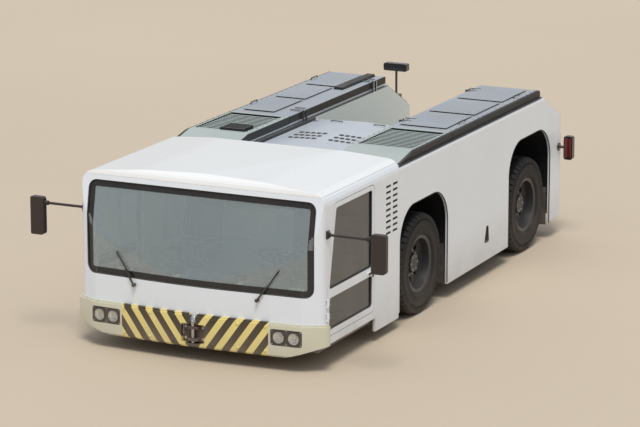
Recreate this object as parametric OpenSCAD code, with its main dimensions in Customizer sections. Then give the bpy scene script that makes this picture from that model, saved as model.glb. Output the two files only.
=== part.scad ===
// Towbarless aircraft pushback tractor: low full-width cab in front, two deck arms behind it,
// and between the arms a lifting cradle that takes the nose wheels of an aircraft.
// The front faces -Y, the tractor's left side is +X, and Z = 0 is the ground.
// Stations along the tractor are measured back from the front of the bumper.

/* [Overall] */
// Length from the bumper's front to the tail lamps
body_l = 6800; // [6500:10:7200]
// Width over the side panels
body_w = 2750; // [2700:10:2900]
// Height of the body's bottom edge between the arches
sill_z = 205; // [180:5:300]
// Thickness of the side panels
panel_t = 30; // [20:1:40]
// Width of the gap between the two arms
gap_w = 1150; // [1100:10:1200]
// Station where the gap between the arms starts
gap_s = 4100; // [4050:10:4200]

/* [Wheels] */
// Outer radius of the tyres
tyre_r = 550; // [540:1:580]
// Width of the tyres
tyre_w = 430; // [400:1:440]
// Radius of the rim under the tyre
rim_r = 290; // [280:1:300]
// Station of the front axle
front_axle_s = 2700; // [2680:5:2720]
// Distance of the rear axle from the tail lamps
rear_overhang = 1090; // [1070:5:1110]
// Inset of the tyre's outer face from the side of the body
wheel_inset = 30; // [20:1:40]
// Radius of the wheel spindles
spindle_r = 45; // [35:1:50]

/* [Arches] */
// Half length of the wheel arches
arch_half = 635; // [630:1:660]
// Top of the front arch
front_arch_z = 1275; // [1260:5:1320]
// Top of the rear arch
rear_arch_z = 1375; // [1350:5:1400]
// Radius of the arches' upper corners
arch_r = 380; // [250:5:400]

/* [Steering] */
// Distance of the kingpin inboard of the wheel's middle
kingpin_in = 130; // [120:1:140]
// Radius of the kingpins
kingpin_r = 30; // [25:1:35]
// Length of the steering arms behind the kingpins
steer_arm = 160; // [150:1:170]
// Radius of the steering rod
steer_rod_r = 22; // [18:1:26]

/* [Cab] */
// Station of the cab's rear wall
cab_back_s = 2040; // [2020:5:2060]
// Height of the cab floor's upper face
cab_floor_z = 400; // [380:5:420]
// Top of the roof at its middle
roof_z = 1890; // [1870:5:1910]
// Height of the roof panel at its middle
roof_h = 105; // [95:5:115]
// Thickness of the cab's walls
cab_wall = 60; // [50:1:70]
// Lower edge of the windshield
screen_z = 770; // [750:5:800]
// How far the windshield's top leans back
screen_lean = 190; // [150:5:220]
// Thickness of the glass
glass_t = 6; // [5:0.5:8]

/* [Doors] */
// Station of the door's front edge at its foot
door_s = 290; // [280:5:300]
// Station of the door's rear edge
door_back_s = 1420; // [1390:5:1440]
// Lower edge of the doors
door_z = 350; // [340:5:370]
// Height of the cab frame above the doors
door_head = 95; // [85:5:110]
// Thickness of the doors
door_t = 45; // [40:1:50]
// Gap around the doors
door_gap = 6; // [5:0.5:8]

/* [Decks] */
// Station where the front grilles start
grille_s = 2130; // [2120:5:2160]
// Station where the hinged deck covers start
deck_s = 3500; // [3480:5:3520]
// Length of the sloped tail behind the deck covers
tail_l = 720; // [700:5:740]
// Height of the deck covers' upper face
deck_top = 1828; // [1820:1:1850]
// Height of the deck covers and grilles above the white body
deck_h = 88; // [80:1:95]
// How far the tail falls towards its rear edge
tail_drop = 350; // [320:5:380]
// Number of louvre blades in each front grille
louvre_n = 14; // [8:1:16]

/* [Cradle] */
// Width of the cradle over its side plates
cradle_w = 1010; // [980:5:1020]
// Thickness of the cradle's side plates
cradle_t = 25; // [20:1:30]
// Height of the cradle floor's upper face
cradle_z = 185; // [170:5:200]
// Height of the cradle's hinge pin
hinge_z = 380; // [360:5:400]

/* [Hidden] */

white = [0.93, 0.94, 0.95];
deck_grey = [0.60, 0.64, 0.70];
dark = [0.12, 0.12, 0.13];
steel = [0.45, 0.46, 0.48];

half_l = body_l / 2;
half_w = body_w / 2;
front_y = -half_l;
body_top = deck_top - deck_h;
tail_z = body_top - tail_drop;
roof_split_z = roof_z - roof_h;
door_top = roof_split_z - door_head;
wheel_x = half_w - wheel_inset - tyre_w / 2;
kingpin_x = wheel_x - kingpin_in;
front_axle_y = front_y + front_axle_s;
rear_axle_y = half_l - rear_overhang;
rail_x = gap_w / 2;
rail_t = 40;
cab_back_y = front_y + cab_back_s;
gap_y = front_y + gap_s;
lamp_out = 60;
tail_y = half_l - lamp_out;
deck_y = front_y + deck_s;
deck_end_y = half_l - tail_l;
grille_y = front_y + grille_s;
nose_out = 50;
nose_y = front_y + nose_out;
bumper_z = 150;
bumper_top = 500;
seat_gap = 0.3;
pan_t = 60;
cab_base_z = sill_z + pan_t + seat_gap;
screen_slope = screen_lean / (roof_split_z - screen_z);
move_gap = 5;
fit = 0.05;

// A polygon whose corners are rounded. The columns of a corner are x, y and radius.
function flat(p) = [p[0], p[1]];
function unit(v) = v / norm(v);
function corner_arc(a, v, b, r, n) =
    let(
        u1 = unit(a - v),
        u2 = unit(b - v),
        half = acos(u1 * u2) / 2,
        back = r / tan(half),
        c = v + unit(u1 + u2) * r / sin(half),
        p1 = v + u1 * back - c,
        p2 = v + u2 * back - c,
        from = atan2(p1[1], p1[0]),
        turn = (atan2(p2[1], p2[0]) - from + 540) % 360 - 180
    )
    [for (i = [0:n]) c + r * [cos(from + turn * i / n), sin(from + turn * i / n)]];
function rounded(c, n = 5) =
    [for (i = [0:len(c) - 1])
        each (c[i][2] <= 0 ? [flat(c[i])]
            : corner_arc(flat(c[(i + len(c) - 1) % len(c)]), flat(c[i]),
                flat(c[(i + 1) % len(c)]), c[i][2], n))];

// The same corners moved inward by g, with their radii reduced to match
function cross_at(c, i) =
    let(j = (i + 1) % len(c))
    c[i][0] * c[j][1] - c[j][0] * c[i][1];
function area(c, i = 0) = i == len(c) ? 0 : cross_at(c, i) + area(c, i + 1);
function edge_in(a, b, s) = s * [a[1] - b[1], b[0] - a[0]] / norm(flat(b) - flat(a));
function inset(c, g) =
    let(s = sign(area(c)), n = len(c))
    [for (i = [0:n - 1])
        let(
            n1 = edge_in(c[(i + n - 1) % n], c[i], s),
            n2 = edge_in(c[i], c[(i + 1) % n], s),
            p = flat(c[i]) + (n1 + n2) * g / (1 + n1 * n2)
        )
        [p[0], p[1], c[i][2] <= 0 ? 0 : max(1, c[i][2] - g)]];

// Extrusions of a drawn outline along each axis. The outline is in y,z or x,z or x,y.
module along_x(x0, x1) {
    translate([x0, 0, 0]) rotate([90, 0, 90]) linear_extrude(x1 - x0) children();
}
module along_y(y0, y1) {
    translate([0, y1, 0]) rotate([90, 0, 0]) linear_extrude(y1 - y0) children();
}
module along_z(z0, z1) {
    translate([0, 0, z0]) linear_extrude(z1 - z0) children();
}
module block(x0, x1, y0, y1, z0, z1) {
    translate([x0, y0, z0]) cube([x1 - x0, y1 - y0, z1 - z0]);
}
module rod_x(x0, x1, y, z, r) {
    translate([x0, y, z]) rotate([0, 90, 0]) cylinder(h = x1 - x0, r = r, $fn = 32);
}
module rod_y(y0, y1, x, z, r) {
    translate([x, y0, z]) rotate([-90, 0, 0]) cylinder(h = y1 - y0, r = r, $fn = 32);
}
module rod_z(z0, z1, x, y, r) {
    translate([x, y, z0]) cylinder(h = z1 - z0, r = r, $fn = 32);
}
module right_side() {
    mirror([1, 0, 0]) children();
}

// The outline of a wheel arch in y,z, grown by g on all sides
module arch_outline(y, top, g = 0) {
    polygon(rounded([
        [y - arch_half - g, -100, 0],
        [y + arch_half + g, -100, 0],
        [y + arch_half + g, top + g, arch_r + g],
        [y - arch_half - g, top + g, arch_r + g]
    ], 8));
}

// A hinge along Z. The fixed half is a pin between two cheeks, the moving half a barrel.
// Its leaves reach from the pin towards +Y by the given lengths.
hinge_pin_r = 8;
hinge_barrel_r = 14;
hinge_l = 60;
cheek_t = 14;

module hinge_fixed(reach_x, reach_y) {
    for (z = [-hinge_l / 2 - cheek_t - seat_gap, hinge_l / 2 + seat_gap])
        translate([0, 0, z]) {
            cylinder(h = cheek_t, r = hinge_barrel_r, $fn = 24);
            if (reach_x != 0)
                block(min(0, reach_x), max(0, reach_x), min(0, reach_y), max(0, reach_y), 0, cheek_t);
        }
    translate([0, 0, -hinge_l / 2 - cheek_t])
        cylinder(h = hinge_l + 2 * cheek_t, r = hinge_pin_r, $fn = 24);
}
module hinge_moving(reach_x, reach_y) {
    difference() {
        union() {
            translate([0, 0, -hinge_l / 2]) cylinder(h = hinge_l, r = hinge_barrel_r, $fn = 24);
            if (reach_x != 0)
                block(min(0, reach_x), max(0, reach_x), min(0, reach_y), max(0, reach_y),
                    -hinge_l / 2, hinge_l / 2);
        }
        translate([0, 0, -hinge_l]) cylinder(h = 2 * hinge_l, r = hinge_pin_r + fit, $fn = 24);
    }
}

// Chassis: floor pan under the cab, two tall rails that are also the arms' inner walls,
// cross walls, wheel motor mounts and the cradle's hinge lugs

rail_hole_low = 400;
rail_hole_high = 750;
rail_hole_front = 190;
rail_hole_back = 290;
rail_hole_r = 60;
cross_wall_t = 40;
pan_edge = 60;
pan_front = 150;
lug_w = 40;
lug_r = 60;
lug_in = 30;
pin_r = 22;
hinge_y = gap_y + 160;
liner_t = 8;
liner_out = 40;
motor_flange_r = 220;
motor_drum_r = 150;
motor_neck_r = 95;

module rail_outline() {
    polygon(rounded([
        [cab_back_y + 20, sill_z, 0],
        [tail_y - panel_t, sill_z, 40],
        [tail_y - panel_t, tail_z - 20, 30],
        [deck_end_y, body_top - panel_t, 60],
        [cab_back_y + 20, body_top - panel_t, 0]
    ]));
}

module chassis_rail() {
    difference() {
        along_x(rail_x, rail_x + rail_t) rail_outline();
        along_x(rail_x - 1, rail_x + rail_t + 1)
            polygon(rounded([
                [front_axle_y - rail_hole_front, rail_hole_low, rail_hole_r],
                [front_axle_y + rail_hole_back, rail_hole_low, rail_hole_r],
                [front_axle_y + rail_hole_back, rail_hole_high, rail_hole_r],
                [front_axle_y - rail_hole_front, rail_hole_high, rail_hole_r]
            ]));
    }
}

module wheel_motor() {
    rod_x(rail_x + rail_t - 1, rail_x + rail_t + 30, rear_axle_y, tyre_r, motor_flange_r);
    rod_x(rail_x + rail_t, wheel_x - tyre_w / 2 + 60, rear_axle_y, tyre_r, motor_drum_r);
    rod_x(rail_x + rail_t, wheel_x - 16, rear_axle_y, tyre_r, motor_neck_r);
    rod_x(rail_x + rail_t, wheel_x + 60, rear_axle_y, tyre_r, spindle_r);
}

module chassis() {
    color("dimgray") {
        chassis_rail();
        right_side() chassis_rail();
        wheel_motor();
        right_side() wheel_motor();
        block(-rail_x - 1, rail_x + 1, gap_y - cross_wall_t, gap_y, sill_z, hood_low - move_gap);
        block(-rail_x - 1, rail_x + 1, cab_back_y + 20, cab_back_y + 50, sill_z, hood_low - move_gap);
        for (side = [0, 1], y = lid_hinge_y)
            mirror([side, 0, 0]) translate([lid_hinge_x, y, lid_hinge_z]) {
                rotate([-90, 0, 0]) hinge_fixed(0, 0);
                for (end = [-1, 1])
                    translate([0, end * (hinge_l / 2 + seat_gap + cheek_t / 2), 0])
                        block(-hinge_barrel_r, hinge_barrel_r - 10, -cheek_t / 2, cheek_t / 2,
                            body_top - panel_t - 1 - lid_hinge_z, 0);
            }
        for (x = [-hood_hinge_x, hood_hinge_x])
            translate([x, hood_hinge_y, hood_hinge_z]) {
                rotate([0, 90, 0]) hinge_fixed(0, 0);
                for (end = [-1, 1])
                    translate([end * (hinge_l / 2 + seat_gap + cheek_t / 2), 0, 0])
                        block(-cheek_t / 2, cheek_t / 2, -hinge_barrel_r, hinge_barrel_r,
                            hood_low - move_gap - 1 - hood_hinge_z, 0);
            }
        block(-half_w + pan_edge, half_w - pan_edge, nose_y + pan_front, cab_back_y + 60,
            sill_z, sill_z + pan_t);
        block(-rail_x - 1, rail_x + 1, cab_back_y + 40, gap_y, sill_z, sill_z + 20);
        for (side = [-1, 1])
            translate([side * (cradle_w / 2 - cradle_t - lug_in - lug_w / 2), 0, 0])
                cradle_lug();
        for (side = [-1, 1])
            translate([side * cyl_lug_x, 0, 0])
                cylinder_lug();
    }
}

module cradle_lug() {
    difference() {
        union() {
            block(-lug_w / 2, lug_w / 2, gap_y - 1, hinge_y, hinge_z - lug_r, hinge_z + lug_r);
            rod_x(-lug_w / 2, lug_w / 2, hinge_y, hinge_z, lug_r);
        }
        rod_x(-lug_w, lug_w, hinge_y, hinge_z, pin_r + fit);
    }
}

// Body: each side is one welded skin of side panel, tail plate, top rim and wheel arch liners

side_z = 172;
side_edge_r = 35;
well_margin = 60;
well_rim = 50;
well_depth = 240;

module side_outline() {
    polygon(rounded([
        [cab_back_y + seat_gap, side_z, 0],
        [front_axle_y, side_z, 0],
        [rear_axle_y, sill_z, 0],
        [tail_y, sill_z + 20, 60],
        [tail_y, tail_z, 60],
        [deck_end_y, body_top, 90],
        [cab_back_y + seat_gap, body_top, 0]
    ]));
}

module arm_plan() {
    polygon(rounded([
        [rail_x + rail_t + seat_gap, cab_back_y, 0],
        [half_w, cab_back_y, 0],
        [half_w, tail_y, 90],
        [rail_x + rail_t + seat_gap, tail_y, 0]
    ]));
}

module arm_section() {
    polygon(rounded([
        [rail_x, side_z - 50, 0],
        [half_w, side_z - 50, 0],
        [half_w, body_top, side_edge_r],
        [rail_x, body_top, 0]
    ]));
}

module arm_solid() {
    intersection() {
        along_x(rail_x, half_w + 1) side_outline();
        along_z(0, body_top + 1) arm_plan();
        along_y(cab_back_y - 1, tail_y + 1) arm_section();
    }
}

module arm_inside() {
    difference() {
        block(rail_x - 1, half_w - panel_t, cab_back_y - 1, tail_y - panel_t,
            side_z - 100, body_top - 25);
        along_x(rail_x - 2, half_w)
            polygon([
                [deck_end_y - 40, body_top + 200],
                [deck_end_y - 40, body_top - 25],
                [tail_y, tail_z - 25],
                [tail_y + 10, body_top + 200]
            ]);
    }
}

liner_foot = 300;

module liner(y, top) {
    difference() {
        along_x(rail_x + rail_t + 1, half_w - panel_t + 1)
            arch_outline(y, top, liner_out + liner_t);
        along_x(rail_x, half_w) arch_outline(y, top, liner_out);
        block(0, half_w + 10, y - 2 * arch_half, y + 2 * arch_half, -200, liner_foot);
        block(0, half_w + 10, y - 1000, cab_back_y + seat_gap, 0, body_top);
    }
}

module body_side() {
    difference() {
        union() {
            difference() {
                arm_solid();
                arm_inside();
                block(rail_x + well_rim, half_w - panel_t - 40, grille_y + well_margin,
                    deck_end_y - well_margin, body_top - well_depth, body_top + 1);
            }
            liner(front_axle_y, front_arch_z);
            liner(rear_axle_y, rear_arch_z);
        }
        along_x(half_w - panel_t - 2, half_w + 10) {
            arch_outline(front_axle_y, front_arch_z);
            arch_outline(rear_axle_y, rear_arch_z);
        }
        service_recess();
    }
}

// The small hand hole low in each side panel
recess_s = 4440;
recess_l = 120;
recess_low = 400;
recess_h = 180;
recess_r = 15;

module service_recess() {
    y = front_y + recess_s;
    along_x(half_w - panel_t - 2, half_w + 10)
        polygon(rounded([
            [y - recess_l / 2, recess_low, recess_r],
            [y + recess_l / 2, recess_low, recess_r],
            [y + recess_l / 3, recess_low + recess_h, recess_r],
            [y - recess_l / 12, recess_low + recess_h, recess_r]
        ]));
}

module body_left() {
    color(white) body_side();
}
module body_right() {
    color(white) right_side() body_side();
}

// Cab: outer form, from a side view, a plan and a front view that cut each other

nose_bow = 75;
corner_in = 190;
corner_back = 150;
nose_r = 200;
cheek_r = 85;
roof_nose_r = 110;
roof_tail_r = 70;
roof_edge_r = 130;

module cab_side(g) {
    polygon(rounded(inset([
        [nose_y, cab_base_z - 500, 0],
        [nose_y, screen_z, 0],
        [nose_y + screen_slope * (roof_z - screen_z), roof_z, roof_nose_r],
        [cab_back_y, roof_z - 20, roof_tail_r],
        [cab_back_y, cab_base_z - 500, 0]
    ], g)));
}

// The plan of the nose, also used for the bumper with its own front and half width
module nose_plan(g, front = nose_y, w = half_w) {
    polygon(rounded(inset([
        [-w, cab_back_y, 0],
        [-w, nose_y + corner_back, cheek_r],
        [-half_w + corner_in, front + nose_bow, nose_r],
        [0, front, 5 * half_w],
        [half_w - corner_in, front + nose_bow, nose_r],
        [w, nose_y + corner_back, cheek_r],
        [w, cab_back_y, 0]
    ], g)));
}

roof_fall = 18;

module cab_section(g) {
    polygon(rounded(inset([
        [-half_w, -200, 0],
        [half_w, -200, 0],
        [half_w, roof_split_z + 30, roof_edge_r],
        [half_w / 2, roof_z - roof_fall, 2 * half_w],
        [0, roof_z, 5 * half_w],
        [-half_w / 2, roof_z - roof_fall, 2 * half_w],
        [-half_w, roof_split_z + 30, roof_edge_r]
    ], g)));
}

module cab_form(g) {
    intersection() {
        along_x(-half_w - 1, half_w + 1) cab_side(g);
        along_z(0, roof_z + 1) nose_plan(g);
        along_y(front_y - 1, cab_back_y + 1) cab_section(g);
    }
}

door_low_r = 50;
door_high_r = 70;

module door_outline(g) {
    polygon(rounded([
        [front_y + door_s - g, door_z - g, door_low_r],
        [front_y + door_s - g, screen_z, 0],
        [front_y + door_s - g + screen_slope * (door_top - screen_z), door_top + g, door_high_r],
        [front_y + door_back_s + g, door_top + g, door_high_r],
        [front_y + door_back_s + g, door_z - g, door_low_r]
    ]));
}

// Windshield opening in x,z
screen_side = 85;
screen_head = 50;
screen_r = 90;
rear_window_side = 350;
rear_window_z = 1160;
rear_window_head = 85;
rear_window_r = 60;

module screen_outline(g) {
    x = half_w - screen_side - g;
    top = roof_split_z - screen_head - g;
    polygon(rounded([
        [-x, screen_z + g, screen_r - g],
        [x, screen_z + g, screen_r - g],
        [x, top, screen_r - g],
        [-x, top, screen_r - g]
    ]));
}

module rear_window_outline(g) {
    x = half_w - rear_window_side - g;
    top = roof_split_z - rear_window_head - g;
    polygon(rounded([
        [-x, rear_window_z + g, rear_window_r],
        [x, rear_window_z + g, rear_window_r],
        [x, top, rear_window_r],
        [-x, top, rear_window_r]
    ]));
}

skirt_z = 120;

module cab_frame() {
    color(white) difference() {
        intersection() {
            cab_form(0);
            union() {
                block(-half_w - 1, half_w + 1, front_y, cab_back_y + 1, cab_base_z, roof_split_z);
                for (side = [0, 1])
                    mirror([side, 0, 0])
                        block(half_w - panel_t, half_w + 1, front_y + door_back_s + 30,
                            cab_back_y + 1, skirt_z, cab_base_z + 1);
            }
        }
        cab_form(cab_wall);
        for (side = [0, 1])
            mirror([side, 0, 0])
                along_x(half_w - cab_wall - 20, half_w + 20) door_outline(door_gap);
        along_y(nose_y - 20, nose_y + 500) screen_outline(0);
        along_y(cab_back_y - 200, cab_back_y + 20) rear_window_outline(0);
        for (side = [0, 1])
            mirror([side, 0, 0]) side_louvres();
        block(-jaw_plate_w / 2 - seat_gap, jaw_plate_w / 2 + seat_gap, nose_y - 1,
            nose_y + cab_wall + 10, 0, jaw_high + seat_gap);
    }
    color(white) for (side = [0, 1], z = door_hinge_at)
        mirror([side, 0, 0]) translate([door_hinge_x, door_hinge_y, z])
            hinge_fixed(-hinge_out - 2, -hinge_barrel_r);
}

// Two columns of short air slots behind each door
slot_n = 9;
slot_pitch = 62;
slot_l = 120;
slot_h = 26;
slot_step = 170;
slot_back = 330;
slot_head = 48;
slot_depth = 12;

module side_louvres() {
    for (i = [1:slot_n], k = [0, 1]) {
        y = cab_back_y - slot_back + k * slot_step;
        z = door_top - slot_head - i * slot_pitch;
        block(half_w - slot_depth, half_w + 10, y, y + slot_l, z, z + slot_h);
    }
}

roof_wall = 45;

module cab_roof() {
    color(white) difference() {
        intersection() {
            cab_form(0);
            block(-half_w - 1, half_w + 1, front_y, cab_back_y + 1,
                roof_split_z + seat_gap, roof_z + 10);
        }
        intersection() {
            cab_form(roof_wall);
            block(-half_w, half_w, front_y, cab_back_y, roof_split_z - 1, roof_z + 10);
        }
    }
}

module cab_floor() {
    color(dark) intersection() {
        cab_form(cab_wall + seat_gap);
        block(-half_w, half_w, front_y, cab_back_y, cab_base_z, cab_floor_z);
    }
}

// The glass stands a little inside the cab's face
glass_in = 20;

module windshield() {
    color([0.35, 0.45, 0.47]) intersection() {
        along_y(nose_y - 20, nose_y + 500) screen_outline(seat_gap);
        difference() {
            cab_form(glass_in);
            cab_form(glass_in + glass_t);
        }
    }
}

module rear_window() {
    color([0.35, 0.45, 0.47])
        along_y(cab_back_y - cab_wall / 2 - glass_t, cab_back_y - cab_wall / 2)
            rear_window_outline(seat_gap);
}

// Doors: frame with an upper and a lower pane, hinged at the front edge
hinge_out = 15;
door_hinge_x = half_w + hinge_out;
door_hinge_y = front_y + door_s - 14;
door_hinge_at = [565, 705];
leaf_l = 62;
handle_out = 22;
handle_l = 140;
handle_h = 25;

pane_edge = 50;
pane_r = 35;
pane_sill = 60;
rail_low = 30;
rail_high = 60;

module pane_upper(g) {
    y0 = front_y + door_s + pane_edge + g;
    y1 = front_y + door_back_s - pane_edge - g;
    top = door_top - pane_edge - g;
    polygon(rounded([
        [y0, screen_z + rail_high + g, pane_r],
        [y1, screen_z + rail_high + g, pane_r],
        [y1, top, pane_r],
        [y0 + screen_slope * (top - screen_z), top, pane_r]
    ]));
}

module pane_lower(g) {
    y0 = front_y + door_s + pane_edge + g;
    y1 = front_y + door_back_s - pane_edge - g;
    polygon(rounded([
        [y0, door_z + pane_sill + g, pane_r],
        [y1, door_z + pane_sill + g, pane_r],
        [y1, screen_z - rail_low - g, pane_r],
        [y0, screen_z - rail_low - g, pane_r]
    ]));
}

module door_side() {
    difference() {
        along_x(half_w - door_t, half_w) door_outline(0);
        along_x(half_w - door_t - 1, half_w + 1) {
            pane_upper(0);
            pane_lower(0);
        }
    }
    block(half_w - 1, half_w + handle_out, front_y + door_back_s - pane_edge - handle_l,
        front_y + door_back_s - pane_edge, screen_z, screen_z + handle_h);
    for (z = door_hinge_at)
        translate([door_hinge_x, door_hinge_y, z]) {
            hinge_moving(0, 0);
            block(-hinge_barrel_r + 0.5, -hinge_pin_r - 1, 0, leaf_l, -hinge_l / 2, hinge_l / 2);
            block(-hinge_out - 1, -hinge_pin_r - 1, hinge_out + 1, leaf_l, -hinge_l / 2, hinge_l / 2);
        }
}

module door_glass_side() {
    along_x(half_w - door_t / 2 - glass_t, half_w - door_t / 2) {
        pane_upper(seat_gap);
        pane_lower(seat_gap);
    }
}

module door_left() {
    color(white) door_side();
}
module door_right() {
    color(white) right_side() door_side();
}
module door_glass_left() {
    color([0.2, 0.22, 0.28]) door_glass_side();
}
module door_glass_right() {
    color([0.2, 0.22, 0.28]) right_side() door_glass_side();
}

// Cab inside: dashboard with its column, steering wheel and two seats
seat_side = 735;
seat_x = half_w - seat_side;
seat_s = 1250;
wheel_tilt = 35;
steer_wheel_r = 210;
steer_wheel_s = 720;
steer_wheel_z = 1000;
column_l = 310;
column_r = 35;
rim_tube_r = 14;
boss_wheel_r = 45;
boss_wheel_h = 35;
spoke_w = 28;
spoke_t = 12;
dash_side = 160;
dash_front = 180;
dash_foot = 150;
dash_back = 240;
dash_rise = 10;

module dashboard() {
    y = nose_y + dash_front;
    color(dark) {
        along_x(-half_w + dash_side, half_w - dash_side)
            polygon(rounded([
                [y, cab_floor_z + seat_gap, 0],
                [y + dash_foot, cab_floor_z + seat_gap, 0],
                [y + dash_back, screen_z - 120, 30],
                [y + dash_back - 20, screen_z + dash_rise, 30],
                [y, screen_z - 40, 20]
            ]));
        translate([seat_x, front_y + steer_wheel_s, steer_wheel_z])
            rotate([-wheel_tilt, 0, 0])
                translate([0, 0, -column_l - 20]) cylinder(h = column_l, r = column_r, $fn = 24);
        block(seat_x - 60, seat_x + 60, y + 120, front_y + steer_wheel_s + 145,
            screen_z - 90, screen_z + 20);
    }
}

module steering_wheel() {
    color(dark)
        translate([seat_x, front_y + steer_wheel_s, steer_wheel_z])
            rotate([-wheel_tilt, 0, 0]) {
                rotate_extrude($fn = 48) translate([steer_wheel_r, 0]) circle(r = rim_tube_r, $fn = 16);
                translate([0, 0, -20 + seat_gap])
                    cylinder(h = boss_wheel_h, r = boss_wheel_r, $fn = 32);
                for (a = [90, 210, 330])
                    rotate([0, 0, a])
                        block(0, steer_wheel_r, -spoke_w / 2, spoke_w / 2, -spoke_t / 2, spoke_t / 2);
            }
}

cushion_w = 480;
cushion_l = 480;
cushion_h = 120;
cushion_top = 480;
seat_back_w = 460;
seat_back_l = 560;
seat_back_t = 110;
seat_back_lean = 10;
seat_box = 340;
seat_post_r = 90;
seat_foot = 400;
seat_foot_t = 40;

module seat() {
    y = front_y + seat_s;
    floor = cab_floor_z + seat_gap;
    top = cab_floor_z + cushion_top;
    low = top - cushion_h;
    w = cushion_w / 2;
    b = seat_back_w / 2;
    along_y(y - cushion_l / 2, y + cushion_l / 2)
        polygon(rounded([[-w, low, 30], [w, low, 30], [w, top, 40], [-w, top, 40]]));
    translate([0, y + cushion_l / 2 - 25, top - 20]) rotate([-seat_back_lean, 0, 0])
        along_y(-seat_back_t / 2, seat_back_t / 2)
            polygon(rounded([[-b, 0, 30], [b, 0, 30], [b - 10, seat_back_l, 90],
                [10 - b, seat_back_l, 90]]));
    block(-seat_box / 2, seat_box / 2, y - seat_box / 2, y + seat_box / 2,
        low - seat_foot_t, low + 1);
    rod_z(floor, low - seat_foot_t + 1, 0, y, seat_post_r);
    block(-seat_foot / 2, seat_foot / 2, y - seat_foot / 2, y + seat_foot / 2,
        floor, floor + seat_foot_t);
}

module seat_left() {
    color(dark) translate([seat_x, 0, 0]) seat();
}
module seat_right() {
    color(dark) translate([-seat_x, 0, 0]) seat();
}

// Bumper: a curved steel band that wraps the front corners of the nose, cut up at its outer ends
bumper_end_s = 262;
bumper_side = 50;
bumper_edge_r = 18;
bumper_low_x = 1010;
bumper_rise = 130;

module bumper_plan(g) {
    nose_plan(g, front_y, half_w + bumper_side);
}

module bumper_corner() {
    x = half_w + bumper_side + 1;
    along_y(front_y - 1, front_y + bumper_end_s + 1)
        polygon([[bumper_low_x, bumper_z - 1], [x, bumper_z + bumper_rise], [x, bumper_z - 1]]);
}

module bumper() {
    color([0.9, 0.85, 0.5]) difference() {
        intersection() {
            union() {
                along_z(bumper_z + bumper_edge_r, bumper_top - bumper_edge_r) bumper_plan(0);
                along_z(bumper_z, bumper_top) bumper_plan(bumper_edge_r);
            }
            block(-half_w - bumper_side - 1, half_w + bumper_side + 1, front_y - 1,
                front_y + bumper_end_s, 0, 2 * bumper_top);
        }
        along_z(bumper_z - 1, bumper_top + 1) nose_plan(-seat_gap);
        for (side = [0, 1])
            mirror([side, 0, 0]) bumper_corner();
        for (side = [-1, 1])
            lamp_window(side);
        block(-jaw_plate_w / 2 - 10, jaw_plate_w / 2 + 10, front_y - 10, front_y + 100,
            jaw_low - 10, jaw_high + 10);
        block(-jaw_slot_w / 2, jaw_slot_w / 2, front_y - 10, front_y + 100, jaw_high, bumper_top + 1);
    }
}

lamp_x = 1025;
lamp_z = 355;
lamp_w = 340;
lamp_h = 170;
lamp_r = 62;
lamp_step = 82;
lamp_edge_r = 22;
lamp_proud = 4;
lamp_sunk = 8;
lamp_back = 45;
lamp_bore = 15;
nose_turn = atan(nose_bow / (half_w - corner_in));

module lamp_outline(g) {
    x = lamp_w / 2 - g;
    z = lamp_h / 2 - g;
    polygon(rounded([[-x, -z, lamp_edge_r], [x, -z, lamp_edge_r], [x, z, lamp_edge_r],
        [-x, z, lamp_edge_r]]));
}

// A cluster stands square to the bowed front, its origin on the bumper's face
module lamp_place(side) {
    y = front_y + nose_bow * lamp_x / (half_w - corner_in);
    translate([side * lamp_x, y, lamp_z]) rotate([0, 0, side * nose_turn]) children();
}

module lamp_window(side) {
    lamp_place(side) along_y(-60, 110) lamp_outline(0);
}

// Each cluster is a housing with two sunk round lamps, each with a raised ring
module headlamps() {
    bore_y = lamp_sunk + lamp_bore;
    color(dark) for (side = [-1, 1]) lamp_place(side) {
        difference() {
            along_y(lamp_sunk, lamp_back) lamp_outline(seat_gap);
            for (x = [-lamp_step, lamp_step])
                rod_y(lamp_sunk - 5, bore_y, x, 0, lamp_r);
        }
        for (x = [-lamp_step, lamp_step]) {
            difference() {
                rod_y(-lamp_proud, bore_y + 1, x, 0, lamp_r + 6);
                rod_y(-lamp_proud - 4, bore_y, x, 0, lamp_r - 2);
            }
            translate([x, bore_y, 0]) rotate([90, 0, 0])
                cylinder(h = 14, r1 = lamp_r - 1, r2 = lamp_r - 22, $fn = 32);
        }
    }
}

// Front tow coupling: a jaw of two plates with an upright pin bore
jaw_t = 25;
jaw_r = 20;
jaw_low = 205;
jaw_high = 385;
jaw_y = front_y + 27;
jaw_w = 140;
jaw_plate_w = 240;
jaw_slot_w = 70;
jaw_edge = 15;

module tow_coupling() {
    color(dark) difference() {
        union() {
            block(-jaw_plate_w / 2, jaw_plate_w / 2, front_y + 60, nose_y + pan_front - seat_gap,
                jaw_low, cab_base_z - seat_gap);
            block(-jaw_plate_w / 2, jaw_plate_w / 2, front_y + 60, nose_y + cab_wall - 5,
                jaw_low, jaw_high);
            for (z = [jaw_low + jaw_edge, jaw_high - jaw_edge - jaw_t])
                along_z(z, z + jaw_t)
                    polygon(rounded([
                        [-jaw_w / 2, front_y + 61, 0],
                        [-jaw_w / 2 + 10, front_y, 30],
                        [jaw_w / 2 - 10, front_y, 30],
                        [jaw_w / 2, front_y + 61, 0]
                    ]));
        }
        rod_z(jaw_low - 40, jaw_high + 30, 0, jaw_y, jaw_r);
    }
}

// Wipers: arm and blade in front of the glass
wiper_x = 700;
wiper_r = 18;
wiper_w = 16;
wiper_t = 12;
wiper_drop = 60;
wiper_rise = 190;
wiper_lean = 10;
wiper_off = 30;

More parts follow.
